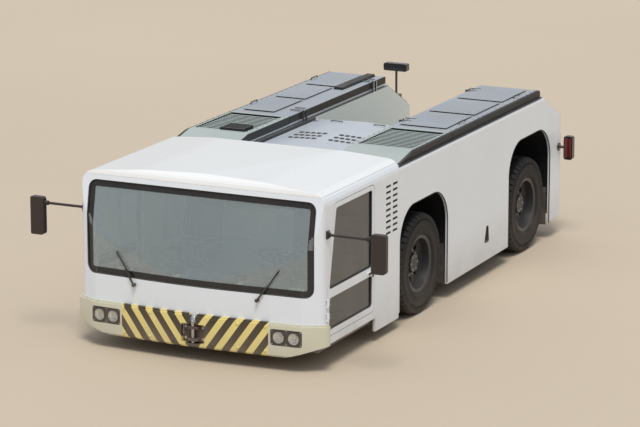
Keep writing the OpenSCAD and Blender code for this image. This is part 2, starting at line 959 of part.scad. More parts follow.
module wipers() {
    face_y = nose_y + nose_bow * wiper_x / (half_w - corner_in);
    color(dark) for (side = [-1, 1]) translate([side * wiper_x, 0, screen_z - wiper_drop]) {
        rod_y(face_y - wiper_off - 2, face_y - 1, 0, 0, wiper_r);
        translate([0, face_y - wiper_off, 0]) rotate([-wiper_lean, side * 35, 0])
            block(-wiper_w / 2, wiper_w / 2, -wiper_t / 2, wiper_t / 2, 0, wiper_rise);
    }
}

// Mirrors on level arms from the windshield's corners
mirror_out = 565;
mirror_z = 1410;
mirror_w = 165;
mirror_h = 400;
mirror_drop = 140;
mirror_t = 70;
mirror_r = 30;
mirror_arm_r = 14;
mirror_y = nose_y + 240;

module mirror_side() {
    x = half_w + mirror_out;
    z = mirror_z - mirror_drop;
    block(half_w + seat_gap, half_w + 20, mirror_y - 30, mirror_y + 30, mirror_z - 40, mirror_z + 40);
    rod_x(half_w + 19, x, mirror_y, mirror_z, mirror_arm_r);
    difference() {
        intersection() {
            along_y(mirror_y - mirror_t / 2, mirror_y + mirror_t / 2)
                polygon(rounded([
                    [x - mirror_w / 2, z - mirror_h / 2, mirror_r],
                    [x + mirror_w / 2, z - mirror_h / 2, mirror_r],
                    [x + mirror_w / 2, z + mirror_h / 2, mirror_r],
                    [x - mirror_w / 2, z + mirror_h / 2, mirror_r]
                ]));
            along_z(z - mirror_h, z + mirror_h)
                polygon(rounded([
                    [x - mirror_w / 2 - 1, mirror_y + mirror_t / 2 + 1, 0],
                    [x - mirror_w / 2 - 1, mirror_y - mirror_t / 2 - 1, mirror_r],
                    [x + mirror_w / 2 + 1, mirror_y - mirror_t / 2 - 1, mirror_r],
                    [x + mirror_w / 2 + 1, mirror_y + mirror_t / 2 + 1, 0]
                ]));
        }
        block(x - mirror_w / 2 + 9, x + mirror_w / 2 - 9, mirror_y + mirror_t / 2 - 8,
            mirror_y + mirror_t, z - mirror_h / 2 + 9, z + mirror_h / 2 - 9);
    }
}

module mirrors() {
    color(dark) {
        mirror_side();
        right_side() mirror_side();
    }
}

// Hood over the engine, between the arms
hood_z = body_top - 40;
hood_gap = 8;
hood_low = hood_z - 80;
hood_front_y = cab_back_y + 80;
hood_hinge_x = 380;
hood_hinge_y = hood_front_y - 24;
hood_hinge_z = hood_z;
hood_skin = 20;
hood_crown = 12;
hood_shoulder = 10;
hood_edge_r = 30;
hood_end_t = 25;
hood_back_gap = 5;
hood_leaf = 14;

module hood() {
    color(white) for (x = [-hood_hinge_x, hood_hinge_x])
        translate([x, hood_hinge_y, hood_hinge_z]) rotate([0, 90, 0])
            hinge_moving(hood_leaf, hood_front_y - hood_hinge_y + 1);
    color(white) difference() {
        along_y(hood_front_y, gap_y - hood_back_gap)
            polygon(rounded([
                [-rail_x + hood_gap, hood_low, 0],
                [rail_x - hood_gap, hood_low, 0],
                [rail_x - hood_gap, hood_z - hood_shoulder, hood_edge_r],
                [0, hood_z + hood_crown, 0],
                [-rail_x + hood_gap, hood_z - hood_shoulder, hood_edge_r]
            ]));
        along_y(hood_front_y + hood_end_t, gap_y - hood_back_gap - hood_end_t)
            polygon([
                [-rail_x + hood_gap + hood_skin, hood_low - hood_skin],
                [rail_x - hood_gap - hood_skin, hood_low - hood_skin],
                [rail_x - hood_gap - hood_skin, hood_z - hood_shoulder - hood_skin],
                [0, hood_z + hood_crown - hood_skin],
                [-rail_x + hood_gap + hood_skin, hood_z - hood_shoulder - hood_skin]
            ]);
    }
}

engine_side = 245;
engine_front = 330;
engine_back = 120;
engine_head = 270;

module engine() {
    color(steel)
        block(engine_side - rail_x, rail_x - engine_side, front_axle_y + engine_front,
            gap_y - engine_back, sill_z + 20 + seat_gap, hood_low - engine_head);
}

// Grilles over the front of each arm: a ramp, a frame and slanted louvre blades
grille_x0 = rail_x + 30;
grille_x1 = half_w - 30;
ramp_l = 420;
ramp_toe = 15;
grille_rim = 60;
grille_outer_r = 25;
grille_inner_r = 12;
blade_t = 10;
blade_w = 76;
blade_tilt = 35;

module grille_side() {
    y1 = deck_y - 8;
    louvre_y = grille_y + ramp_l;
    pitch = (y1 - grille_rim - louvre_y) / louvre_n;
    difference() {
        intersection() {
            along_x(grille_x0, grille_x1)
                polygon([
                    [grille_y, body_top + seat_gap],
                    [y1, body_top + seat_gap],
                    [y1, deck_top],
                    [louvre_y - grille_rim, deck_top],
                    [grille_y, body_top + ramp_toe]
                ]);
            along_y(grille_y - 1, y1 + 1)
                polygon(rounded([
                    [grille_x0, body_top, 0],
                    [grille_x1, body_top, 0],
                    [grille_x1, deck_top, grille_outer_r],
                    [grille_x0, deck_top, grille_inner_r]
                ]));
        }
        block(grille_x0 + grille_rim, grille_x1 - grille_rim, louvre_y, y1 - grille_rim,
            body_top - 1, deck_top + 1);
    }
    for (i = [0:louvre_n - 1])
        translate([0, louvre_y + (i + 0.5) * pitch, (body_top + deck_top) / 2])
            rotate([blade_tilt, 0, 0])
                block(grille_x0 + grille_rim - 1, grille_x1 - grille_rim + 1, -blade_t / 2,
                    blade_t / 2, -blade_w / 2, blade_w / 2);
}

module grille_left() {
    color(deck_grey) grille_side();
}
module grille_right() {
    color(deck_grey) {
        right_side() grille_side();
        air_intake();
    }
}

// Low air intake in the middle of the right grille's frame, in front of its blades
intake_x = -850;
intake_w = 280;
intake_l = 250;
intake_h = 24;
intake_rim = 20;
intake_slots = 4;
slot_floor = 6;

module air_intake() {
    y = grille_y + ramp_l + ramp_toe;
    x0 = intake_x - intake_w / 2;
    x1 = intake_x + intake_w / 2;
    pitch = intake_l / (intake_slots + 1);
    difference() {
        along_y(y, y + intake_l)
            polygon(rounded([
                [x0, deck_top - deck_h / 2, 0],
                [x1, deck_top - deck_h / 2, 0],
                [x1, deck_top + intake_h, 10],
                [x0, deck_top + intake_h, 10]
            ]));
        for (i = [1:intake_slots])
            block(x0 + intake_rim, x1 - intake_rim, y + (i - 0.25) * pitch, y + (i + 0.25) * pitch,
                deck_top + slot_floor, deck_top + 2 * intake_h);
    }
}

// Hinged deck covers behind the grilles
lid_hinge_x = rail_x + 16;
lid_hinge_z = deck_top - 2;
lid_hinge_y = [deck_y + 350, deck_end_y - 360];
deck_skin = 15;

module deck_side() {
    difference() {
        intersection() {
            along_x(grille_x0, grille_x1)
                polygon(rounded([
                    [deck_y, body_top + move_gap, 0],
                    [deck_end_y - 10, body_top + move_gap, 0],
                    [deck_end_y - 10, deck_top, 30],
                    [deck_y, deck_top, 8]
                ]));
            along_y(deck_y - 1, deck_end_y)
                polygon(rounded([
                    [grille_x0, body_top, 0],
                    [grille_x1, body_top, 0],
                    [grille_x1, deck_top, grille_outer_r],
                    [grille_x0, deck_top, grille_inner_r]
                ]));
        }
        block(grille_x0 + deck_skin, grille_x1 - deck_skin, deck_y + deck_skin,
            deck_end_y - deck_skin - 10, body_top - 1, deck_top - 12);
    }
    for (y = lid_hinge_y)
        translate([lid_hinge_x, y, lid_hinge_z]) rotate([-90, 0, 0])
            hinge_moving(grille_x0 - lid_hinge_x + 1, 12);
}

module deck_left() {
    color(deck_grey) deck_side();
}
module deck_right() {
    color(deck_grey) {
        right_side() deck_side();
        cable_cover();
    }
}

// Long low cover on the right deck, near its rear end
cover_x = -rail_x - 185;
cover_w = 120;
cover_l = 900;
cover_back = 90;
cover_h = 30;
cover_slope = 12;

module cable_cover() {
    x0 = cover_x - cover_w / 2;
    x1 = cover_x + cover_w / 2;
    y = deck_end_y - cover_back;
    along_y(y - cover_l, y)
        polygon(rounded([
            [x0, deck_top - 1, 0],
            [x1, deck_top - 1, 0],
            [x1 - cover_slope, deck_top + cover_h, 10],
            [x0 + cover_slope, deck_top + cover_h, 10]
        ]));
}

// Front axle: beam with a fork at each end, and the double-ended steering cylinder behind it
fork_gap = 190;
fork_t = 34;
boss_r = 55;
fork_l = 130;
beam_h = 150;
steer_y = front_axle_y + steer_arm - 7;
steer_cyl_l = 600;
steer_cyl_r = 50;
steer_clamp_x = 240;
axle_seat_x = 575;

module front_axle() {
    color(dark) {
        difference() {
            union() {
                block(fork_l - kingpin_x, kingpin_x - fork_l, front_axle_y - beam_h / 2,
                    front_axle_y + beam_h / 2, tyre_r - beam_h / 2, tyre_r + beam_h / 2);
                for (side = [0, 1])
                    mirror([side, 0, 0]) {
                        block(kingpin_x - fork_l - 60, kingpin_x - fork_l + 10, front_axle_y - 70,
                            front_axle_y + 70, tyre_r - fork_gap / 2 - fork_t,
                            tyre_r + fork_gap / 2 + fork_t);
                        for (z = [tyre_r - fork_gap / 2 - fork_t, tyre_r + fork_gap / 2]) {
                            block(kingpin_x - fork_l, kingpin_x, front_axle_y - boss_r,
                                front_axle_y + boss_r, z, z + fork_t);
                            rod_z(z, z + fork_t, kingpin_x, front_axle_y, boss_r);
                        }
                    }
                rod_x(-steer_cyl_l / 2, steer_cyl_l / 2, steer_y, tyre_r, steer_cyl_r);
                for (x = [-steer_clamp_x, steer_clamp_x])
                    block(x - 20, x + 20, front_axle_y, steer_y, tyre_r - 30, tyre_r + 30);
            }
            for (side = [-1, 1])
                rod_z(tyre_r - 300, tyre_r + 300, side * kingpin_x, front_axle_y, kingpin_r + fit);
            rod_x(-steer_cyl_l, steer_cyl_l, steer_y, tyre_r, steer_rod_r + fit);
        }
        for (side = [-1, 1])
            block(side * axle_seat_x - 100, side * axle_seat_x + 100, front_axle_y - 60,
                front_axle_y + 60, tyre_r + beam_h / 2 - 1, rail_hole_high - seat_gap);
    }
}

steer_pin_r = 14;
steer_eye_r = 26;
steer_eye_out = 40;

module steering_rod() {
    color(steel) difference() {
        union() {
            rod_x(-kingpin_x + 30, kingpin_x - 30, steer_y, tyre_r, steer_rod_r);
            for (side = [-1, 1])
                rod_z(tyre_r - 25, tyre_r + 25, side * kingpin_x, steer_y, steer_eye_out);
        }
        for (side = [-1, 1])
            rod_z(tyre_r - 30, tyre_r + 30, side * kingpin_x, steer_y, steer_eye_r);
    }
}

// Steering knuckle: boss between the fork's ears, kingpin, spindle and steering arm
module knuckle_side() {
    x = kingpin_x;
    y = front_axle_y;
    rod_z(tyre_r - fork_gap / 2 + 1, tyre_r + fork_gap / 2 - 1, x, y, boss_r);
    rod_z(tyre_r - fork_gap / 2 - fork_t - 8, tyre_r + fork_gap / 2 + fork_t + 8, x, y, kingpin_r);
    rod_x(x, x + 80, y, tyre_r, 70);
    rod_x(x, wheel_x + 60, y, tyre_r, spindle_r);
    for (z = [tyre_r - 50, tyre_r + 30])
        block(x - 20, x + 20, y, y + steer_arm + 20, z, z + 20);
    rod_z(tyre_r - 50, tyre_r + 50, x, y + steer_arm, steer_pin_r);
}

module knuckle_left() {
    color(steel) knuckle_side();
}
module knuckle_right() {
    color(steel) right_side() knuckle_side();
}

// Tyre and rim, drawn with the axle along X and turned into place
tyre_shoulder = 70;
hub_r = 110;
hub_l = 150;
hand_hole_n = 8;

module tyre() {
    color(dark) rotate([0, 90, 0]) rotate_extrude($fn = 96)
        polygon(rounded([
            [rim_r + seat_gap, -tyre_w / 2 + 42, 0],
            [rim_r + 24, -tyre_w / 2 + 30, 0],
            [rim_r + 32, -tyre_w / 2 + 12, 6],
            [rim_r + 75, -tyre_w / 2, 40],
            [tyre_r - 40, -tyre_w / 2, 40],
            [tyre_r, -tyre_w / 2 + tyre_shoulder, 40],
            [tyre_r, tyre_w / 2 - tyre_shoulder, 40],
            [tyre_r - 40, tyre_w / 2, 40],
            [rim_r + 75, tyre_w / 2, 40],
            [rim_r + 32, tyre_w / 2 - 12, 6],
            [rim_r + 24, tyre_w / 2 - 30, 0],
            [rim_r + seat_gap, tyre_w / 2 - 42, 0]
        ]));
}

// The rim's outer side is +X. The disc stands inboard of the tyre's outer face.
disc_x = 40;

module rim() {
    color("lightgray") difference() {
        rotate([0, 90, 0]) rotate_extrude($fn = 64)
            polygon([
                [spindle_r + fit, disc_x - 50],
                [hub_r, disc_x - 50],
                [hub_r, disc_x],
                [rim_r - 40, disc_x + 35],
                [rim_r - 16, disc_x - 60],
                [rim_r - 16, -tyre_w / 2 + 30],
                [rim_r + 22, -tyre_w / 2 + 20],
                [rim_r + 23, -tyre_w / 2 + 29],
                [rim_r, -tyre_w / 2 + 41],
                [rim_r, tyre_w / 2 - 41],
                [rim_r + 23, tyre_w / 2 - 29],
                [rim_r + 22, tyre_w / 2 - 20],
                [rim_r - 16, tyre_w / 2 - 30],
                [rim_r - 24, disc_x + 60],
                [hub_r, disc_x + 20],
                [hub_r - 10, disc_x + 90],
                [0, disc_x + 90],
                [0, disc_x + 30],
                [spindle_r + fit, disc_x + 30]
            ]);
        for (i = [0:hand_hole_n - 1])
            rotate([360 / hand_hole_n * i, 0, 0])
                rod_x(disc_x - 60, disc_x + 120, 0, 185, 32);
    }
}

module at_wheel(side, y) {
    translate([side * wheel_x, y, tyre_r]) mirror([side < 0 ? 1 : 0, 0, 0]) children();
}

module tyre_front_left() { at_wheel(1, front_axle_y) tyre(); }
module tyre_front_right() { at_wheel(-1, front_axle_y) tyre(); }
module tyre_rear_left() { at_wheel(1, rear_axle_y) tyre(); }
module tyre_rear_right() { at_wheel(-1, rear_axle_y) tyre(); }
module rim_front_left() { at_wheel(1, front_axle_y) rim(); }
module rim_front_right() { at_wheel(-1, front_axle_y) rim(); }
module rim_rear_left() { at_wheel(1, rear_axle_y) rim(); }
module rim_rear_right() { at_wheel(-1, rear_axle_y) rim(); }

// Cradle: side plates, floor, curved wheel stop and gate pins
cradle_back_y = half_l - 360;
cradle_front_y = hinge_y;
stop_y = gap_y + 760;
stop_z = 640;
stop_t = 30;
stop_l = 260;
stop_r = 395;
stop_side_z = 800;
stop_side_l = 60;
side_low_z = cradle_z + 260;
side_high_z = cradle_z + 330;
plate_h = 25;
eye_w = 60;
eye_r = 42;
ear_w = 24;
ear_gap = 3;
ear_x = eye_w / 2 + ear_gap + ear_w / 2;
ear_low = 420;
gate_pin_r = 20;
gate_pin_l = 360;
gate_x = cradle_w / 2 - 70;
gate_y = cradle_back_y - 70;
eye_out = 140;
eye_y = stop_y - eye_out;
eye_z = 700;
cyl_out = 110;
cyl_y = gap_y + cyl_out;
cyl_drop = 390;
cyl_z = hood_low - cyl_drop;
cyl_pin_l = 2 * (eye_w / 2 + ear_gap + ear_w);
cyl_lug_x = ear_x;

module cradle_plate() {
    polygon(rounded([
        [cradle_front_y - lug_r, hinge_z - lug_r, 50],
        [stop_y - 100, cradle_z - plate_h, 60],
        [cradle_back_y, cradle_z - plate_h, 20],
        [cradle_back_y, side_low_z, 60],
        [stop_y + stop_side_l, side_high_z, 100],
        [stop_y + stop_side_l, stop_side_z, 40],
        [stop_y - 2 * stop_side_l, stop_side_z, 80],
        [cradle_front_y - lug_r, hinge_z + lug_r, 50]
    ]));
}

module wheel_stop(x) {
    difference() {
        along_x(-x, x)
            polygon([
                [stop_y - stop_t, cradle_z - plate_h],
                [stop_y + stop_l, cradle_z - plate_h],
                [stop_y + stop_l, cradle_z + 30],
                [stop_y + stop_t, stop_z],
                [stop_y - stop_t, stop_z]
            ]);
        rod_x(-x - 1, x + 1, stop_y + stop_r + 5, cradle_z + stop_r - 10, stop_r);
    }
}

module cradle_ear() {
    along_x(-ear_w / 2, ear_w / 2)
        polygon(rounded([
            [stop_y - stop_t + 1, ear_low, 0],
            [stop_y - stop_t + 1, stop_z, 0],
            [eye_y - eye_r - ear_gap, eye_z + eye_r + ear_gap, 40],
            [eye_y - eye_r - ear_gap, eye_z - eye_r - ear_gap, 30]
        ]));
}

module cradle() {
    inner = cradle_w / 2 - cradle_t;
    color("silver") {
        for (side = [0, 1])
            mirror([side, 0, 0]) along_x(inner, cradle_w / 2) cradle_plate();
        rod_x(-cradle_w / 2, cradle_w / 2, hinge_y, hinge_z, pin_r);
        block(-inner - 1, inner + 1, stop_y, gate_y - lug_r, cradle_z - plate_h, cradle_z);
        wheel_stop(inner + 1);
        for (side = [-1, 1])
            translate([side * ear_x, 0, 0]) cradle_ear();
        rod_x(-cyl_pin_l / 2, cyl_pin_l / 2, eye_y, eye_z, pin_r);
        for (side = [-1, 1]) {
            block(side * gate_x - gate_foot, side * gate_x + gate_foot, gate_y - gate_r,
                gate_y + gate_r, cradle_z - plate_h, cradle_z);
            rod_z(cradle_z - 1, cradle_z + gate_pin_l, side * gate_x, gate_y, gate_pin_r);
        }
    }
}

// Gates: blades on upright pins that close behind the nose wheels
gate_l = gate_x - 8;
gate_r = 40;
gate_t = 40;
gate_foot = 45;
gate_low = 40;
gate_high = 320;
gate_barrel_l = 340;

module gate_side() {
    difference() {
        union() {
            rod_z(cradle_z + seat_gap, cradle_z + gate_barrel_l, gate_x, gate_y, gate_r);
            block(gate_x - gate_l, gate_x, gate_y - gate_t / 2, gate_y + gate_t / 2,
                cradle_z + gate_low, cradle_z + gate_high);
        }
        rod_z(cradle_z - 10, cradle_z + gate_pin_l + 10, gate_x, gate_y, gate_pin_r + fit);
    }
}

module gate_left() {
    color([0.9, 0.75, 0.2]) gate_side();
}
module gate_right() {
    color([0.9, 0.75, 0.2]) right_side() gate_side();
}

// Lift cylinder from the cross wall to the cradle's stop
cyl_turn = atan2(eye_z - cyl_z, eye_y - cyl_y);
cyl_l = norm([eye_z - cyl_z, eye_y - cyl_y]);

module at_cylinder() {
    translate([0, cyl_y, cyl_z]) rotate([cyl_turn, 0, 0]) children();
}

cyl_neck_r = 28;
cyl_r = 55;
cyl_start = 62;
cyl_bore = 120;
cyl_end = 480;
rod_r = 32;
rod_start = 200;
eye_play = 2;

module cylinder_lug() {
    difference() {
        union() {
            block(-ear_w / 2, ear_w / 2, gap_y - 1, cyl_y, cyl_z - eye_r, cyl_z + eye_r);
            rod_x(-ear_w / 2, ear_w / 2, cyl_y, cyl_z, eye_r);
        }
        rod_x(-ear_w, ear_w, cyl_y, cyl_z, pin_r + fit);
    }
}

module lift_cylinder() {
    color(dark) at_cylinder() difference() {
        union() {
            rod_x(-eye_w / 2, eye_w / 2, 0, 0, eye_r);
            rod_x(-cyl_pin_l / 2, cyl_pin_l / 2, 0, 0, pin_r);
            rod_y(0, cyl_start + 1, 0, 0, cyl_neck_r);
            rod_y(cyl_start, cyl_end, 0, 0, cyl_r);
        }
        rod_y(cyl_bore, cyl_end + 10, 0, 0, rod_r + fit);
    }
}

module lift_rod() {
    color("silver") at_cylinder() difference() {
        union() {
            rod_y(rod_start, cyl_l - eye_r + 7, 0, 0, rod_r);
            rod_x(-eye_w / 2, eye_w / 2, cyl_l, 0, eye_r);
        }
        rod_x(-eye_w, eye_w, cyl_l, 0, pin_r + eye_play);
    }
}

// Lamps: one at each arm's tail, marker lamps on short side arms, work lamp on the right arm
tail_lamp_in = 110;
tail_lamp_w = 120;
tail_lamp_h = 280;
tail_lamp_drop = 210;
marker_w = 110;
marker_l = 70;
marker_h = 280;
marker_out = 75;
marker_z = 920;
marker_y = tail_y - 130;
marker_arm_r = 16;
marker_foot_t = 12;
marker_edge_r = 30;
work_lamp_x = -rail_x - 105;
work_lamp_y = deck_end_y + 470;
work_lamp_z = body_top + 65;
work_lamp_w = 300;
work_lamp_h = 90;
work_lamp_l = 80;
work_stem_r = 14;
work_foot_h = 30;
work_foot_w = 100;
lamp_corner_r = 20;

module lamp_shape(w, h, r) {
    polygon(rounded([[-w / 2, 0, r], [w / 2, 0, r], [w / 2, h, r], [-w / 2, h, r]]));
}

module marker_lamp() {
    x = half_w + marker_out;
    z = marker_z + marker_h / 2;
    rod_x(half_w + seat_gap, x + 1, marker_y, z, marker_arm_r);
    rod_x(half_w + seat_gap, half_w + marker_foot_t, marker_y, z, 3 * marker_arm_r);
    translate([x + marker_w / 2, 0, marker_z])
        along_y(marker_y - marker_l / 2, marker_y + marker_l / 2)
            lamp_shape(marker_w, marker_h, marker_edge_r);
}

module work_lamp() {
    foot_z = body_top - tail_drop * (work_lamp_y - deck_end_y) / (tail_y - deck_end_y) + work_foot_h;
    translate([work_lamp_x, 0, 0]) {
        difference() {
            union() {
                rod_z(tail_z, work_lamp_z + 1, 0, work_lamp_y, work_stem_r);
                block(-work_foot_w / 2, work_foot_w / 2, work_lamp_y - work_foot_w / 2,
                    work_lamp_y + work_foot_w / 2, tail_z, foot_z);
            }
            translate([0, 0, seat_gap]) along_x(-work_foot_w, work_foot_w) side_outline();
        }
        translate([0, 0, work_lamp_z])
            along_y(work_lamp_y - work_lamp_l / 2, work_lamp_y + work_lamp_l / 2)
                lamp_shape(work_lamp_w, work_lamp_h, lamp_corner_r);
    }
}

module rear_lamps() {
    color(dark) {
        for (side = [0, 1])
            mirror([side, 0, 0]) {
                translate([half_w - tail_lamp_in, 0, tail_z - tail_lamp_drop - tail_lamp_h])
                    along_y(tail_y + seat_gap, half_l)
                        lamp_shape(tail_lamp_w, tail_lamp_h, lamp_corner_r);
                marker_lamp();
            }
        work_lamp();
    }
}

chassis();
body_left();
body_right();
bumper();
headlamps();
tow_coupling();
cab_floor();
cab_frame();
cab_roof();
windshield();
rear_window();
door_left();
door_right();
door_glass_left();
door_glass_right();
dashboard();
steering_wheel();
seat_left();
seat_right();
wipers();
mirrors();
hood();
engine();
grille_left();
grille_right();
deck_left();
deck_right();
front_axle();
steering_rod();
knuckle_left();
knuckle_right();
tyre_front_left();
tyre_front_right();
tyre_rear_left();
tyre_rear_right();
rim_front_left();
rim_front_right();
rim_rear_left();
rim_rear_right();
cradle();
gate_left();
gate_right();
lift_cylinder();
lift_rod();
rear_lamps();
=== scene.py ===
from contextlib import contextmanager
import math

import bpy
from mathutils import Matrix, Vector


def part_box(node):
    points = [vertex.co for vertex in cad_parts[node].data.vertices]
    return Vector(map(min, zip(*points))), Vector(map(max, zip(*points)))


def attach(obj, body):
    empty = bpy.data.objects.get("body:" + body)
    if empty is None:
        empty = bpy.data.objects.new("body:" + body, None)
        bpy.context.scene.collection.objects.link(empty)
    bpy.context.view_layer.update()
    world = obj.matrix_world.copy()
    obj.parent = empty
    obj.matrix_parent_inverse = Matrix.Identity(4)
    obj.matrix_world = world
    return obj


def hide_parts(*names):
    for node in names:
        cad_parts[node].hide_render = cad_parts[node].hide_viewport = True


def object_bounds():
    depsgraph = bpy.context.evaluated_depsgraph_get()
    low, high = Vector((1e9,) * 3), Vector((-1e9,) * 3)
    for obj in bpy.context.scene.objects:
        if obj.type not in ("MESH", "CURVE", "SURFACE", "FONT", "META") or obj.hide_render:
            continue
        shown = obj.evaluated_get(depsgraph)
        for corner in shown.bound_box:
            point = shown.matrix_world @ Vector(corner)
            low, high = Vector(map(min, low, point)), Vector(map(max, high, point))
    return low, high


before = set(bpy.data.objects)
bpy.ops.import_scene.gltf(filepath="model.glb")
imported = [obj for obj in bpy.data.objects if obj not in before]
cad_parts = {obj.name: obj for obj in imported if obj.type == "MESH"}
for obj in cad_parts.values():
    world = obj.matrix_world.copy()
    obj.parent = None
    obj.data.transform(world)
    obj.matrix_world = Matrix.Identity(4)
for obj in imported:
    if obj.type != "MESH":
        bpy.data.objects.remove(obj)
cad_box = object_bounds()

# Studio. The camera stands high in front of the tractor's left side and looks down on it with a
# long lens. A wide soft sky does most of the lighting, and one low-contrast sun gives direction.
camera_place = Vector((14.41, -30.64, 8.95))
camera_target = Vector((0.10, -0.60, 0.95))
camera_lens = 178
bpy.ops.object.camera_add(location=camera_place)
camera = bpy.context.object
camera.rotation_euler = (camera_target - camera_place).to_track_quat("-Z", "Y").to_euler()
camera.data.lens = camera_lens
camera.data.sensor_width = 36
camera.data.clip_end = 900
bpy.context.scene.camera = camera
bpy.context.scene.view_settings.view_transform = "Standard"

sun_strength = 2.08
sun_angle = math.radians(22)
sun_from = Vector((0.22, -0.42, 1.0))
bpy.ops.object.light_add(type="SUN", location=(0, 0, 20))
sun = bpy.context.object
sun.rotation_euler = sun_from.to_track_quat("Z", "Y").to_euler()
sun.data.energy = sun_strength
sun.data.angle = sun_angle
sun.data.color = (1.0, 0.97, 0.92)


def add_node(tree, kind, sockets=None, **settings):
    made = tree.nodes.new("ShaderNode" + kind)
    for key, value in settings.items():
        setattr(made, key, value)
    for key, value in (sockets or {}).items():
        if isinstance(value, bpy.types.NodeSocket):
            tree.links.new(value, made.inputs[key])
        else:
            made.inputs[key].default_value = value
    return made


def mix_colour(factor, first, second):
    return add_node(factor.id_data, "Mix", {0: factor, 6: first, 7: second}, data_type="RGBA").outputs[2]


def new_material(name, **sockets):
    made = bpy.data.materials.new(name)
    made.use_nodes = True
    shader = made.node_tree.nodes["Principled BSDF"]
    for key, value in sockets.items():
        shader.inputs[key.replace("_", " ").title().replace("Ior", "IOR")].default_value = value
    return made, made.node_tree, shader


def feed(shader, **values):
    for key, value in values.items():
        shader.id_data.links.new(value, shader.inputs[key.replace("_", " ")])


sky_colour = (0.86, 0.93, 1.0, 1)
haze_colour = (0.66, 0.58, 0.50, 1)
sky = bpy.data.worlds.new("soft_sky")
sky.use_nodes = True
bpy.context.scene.world = sky
tree = sky.node_tree
height = add_node(tree, "SeparateXYZ", {0: add_node(tree, "TexCoord").outputs["Generated"]}).outputs["Z"]
rise = add_node(tree, "MapRange", {"Value": height, "From Min": 0.0, "From Max": 0.35}).outputs[0]
seen = add_node(tree, "LightPath").outputs["Is Camera Ray"]
background = tree.nodes["Background"]
feed(background, Color=mix_colour(seen, mix_colour(rise, haze_colour, sky_colour), haze_colour))
background.inputs["Strength"].default_value = 0.63

apron_size = 1600
apron_colour = (0.60, 0.50, 0.385, 1)
apron_damp = (0.535, 0.445, 0.34, 1)
bpy.ops.mesh.primitive_plane_add(size=apron_size)
apron = bpy.context.object
apron.name = "apron"
mat, tree, shader = new_material("apron_concrete", roughness=0.85)
place = add_node(tree, "TexCoord").outputs["Object"]
cloud = add_node(tree, "TexNoise", {"Vector": place, "Scale": 0.12, "Detail": 4.0})
feed(shader, Base_Color=mix_colour(cloud.outputs[0], apron_colour, apron_damp))
apron.data.materials.append(mat)

# Chassis. Two tall welded rails, a floor pan and cross walls of thick steel plate. The rails' inner
# faces line the gap and are painted pale, the rest is dark. The wheel motors are bolted on.


def calculate(operation, *values, clamp=False):
    tree = next(value.id_data for value in values if isinstance(value, bpy.types.NodeSocket))
    return add_node(tree, "Math", dict(enumerate(values)), operation=operation, use_clamp=clamp).outputs[0]


def product(value, *others, clamp=False):
    for other in others:
        value = calculate("MULTIPLY", value, other, clamp=clamp)
    return value


def ramp(value, low, high, low_out=0.0, high_out=1.0):
    sockets = {"Value": value, "From Min": low, "From Max": high, "To Min": low_out, "To Max": high_out}
    return add_node(value.id_data, "MapRange", sockets).outputs[0]


def coordinates(tree):
    place = add_node(tree, "TexCoord").outputs["Object"]
    parts = add_node(tree, "SeparateXYZ", {0: place}).outputs
    return place, parts["X"], parts["Y"], parts["Z"]


def normal_part(tree, axis, source="NewGeometry"):
    return add_node(tree, "SeparateXYZ", {0: add_node(tree, source).outputs["Normal"]}).outputs[axis]


def noise(place, scale, detail=3.0, stretch=None):
    if stretch:
        place = add_node(place.id_data, "Mapping", {"Vector": place, "Scale": stretch}).outputs[0]
    sockets = {"Vector": place, "Scale": scale, "Detail": detail}
    return add_node(place.id_data, "TexNoise", sockets).outputs[0]


def bump(height, strength, distance, **others):
    sockets = {"Height": height, "Strength": strength, "Distance": distance, **others}
    return add_node(height.id_data, "Bump", sockets).outputs[0]


def shader_group(name, inputs, **outputs):
    made = bpy.data.node_groups.new(name, "ShaderNodeTree")
    for label, value in inputs.items():
        kind = "NodeSocketColor" if isinstance(value, tuple) else "NodeSocketFloat"
        made.interface.new_socket(name=label, in_out="INPUT", socket_type=kind).default_value = value
    for label, kind in outputs.items():
        made.interface.new_socket(name=label, in_out="OUTPUT", socket_type="NodeSocket" + kind)
    return made, made.nodes.new("NodeGroupInput").outputs, made.nodes.new("NodeGroupOutput").inputs


def use_group(tree, group, **values):
    return add_node(tree, "Group", values, node_tree=group).outputs


road_dust, given, result = shader_group("road_dust", {"Top": 0.8, "Amount": 0.5, "Scale": 3.0},
                                        Mask="Float")
place, _, _, z = coordinates(road_dust)
low_part = calculate("SUBTRACT", 1.0, calculate("DIVIDE", z, given["Top"]), clamp=True)
low_part = calculate("POWER", low_part, 1.6)
flat_part = product(ramp(normal_part(road_dust, "Z"), 0.5, 1.0), 0.22)
cloud = ramp(noise(place, given["Scale"], 5.0), 0.32, 0.68)
lying = product(calculate("MAXIMUM", low_part, flat_part), calculate("ADD", cloud, 0.35))
road_dust.links.new(product(lying, given["Amount"], clamp=True), result["Mask"])

worn_edge, given, result = shader_group("worn_edge", {"Radius": 0.004, "Amount": 0.5, "Scale": 20.0},
                                        Mask="Float", Normal="Vector")
rounded = add_node(worn_edge, "Bevel", {"Radius": given["Radius"]}, samples=4).outputs[0]
real = add_node(worn_edge, "NewGeometry").outputs["Normal"]
turn = add_node(worn_edge, "VectorMath", {0: rounded, 1: real}, operation="DOT_PRODUCT").outputs["Value"]
chips = ramp(noise(coordinates(worn_edge)[0], given["Scale"], 6.0), 0.50, 0.60)
worn_edge.links.new(product(ramp(turn, 0.99, 0.88), chips, given["Amount"]), result["Mask"])
worn_edge.links.new(rounded, result["Normal"])

mottle, given, result = shader_group("mottle", {"Color": (0.8, 0.8, 0.8, 1), "Spread": 0.04, "Scale": 1.5},
                                     Color="Color")
cloud = calculate("SUBTRACT", noise(coordinates(mottle)[0], given["Scale"], 5.0), 0.5)
value = calculate("MULTIPLY_ADD", cloud, product(given["Spread"], 4.0), 1.0)
tinted = add_node(mottle, "HueSaturation", {"Color": given["Color"], "Value": value})
mottle.links.new(tinted.outputs[0], result["Color"])

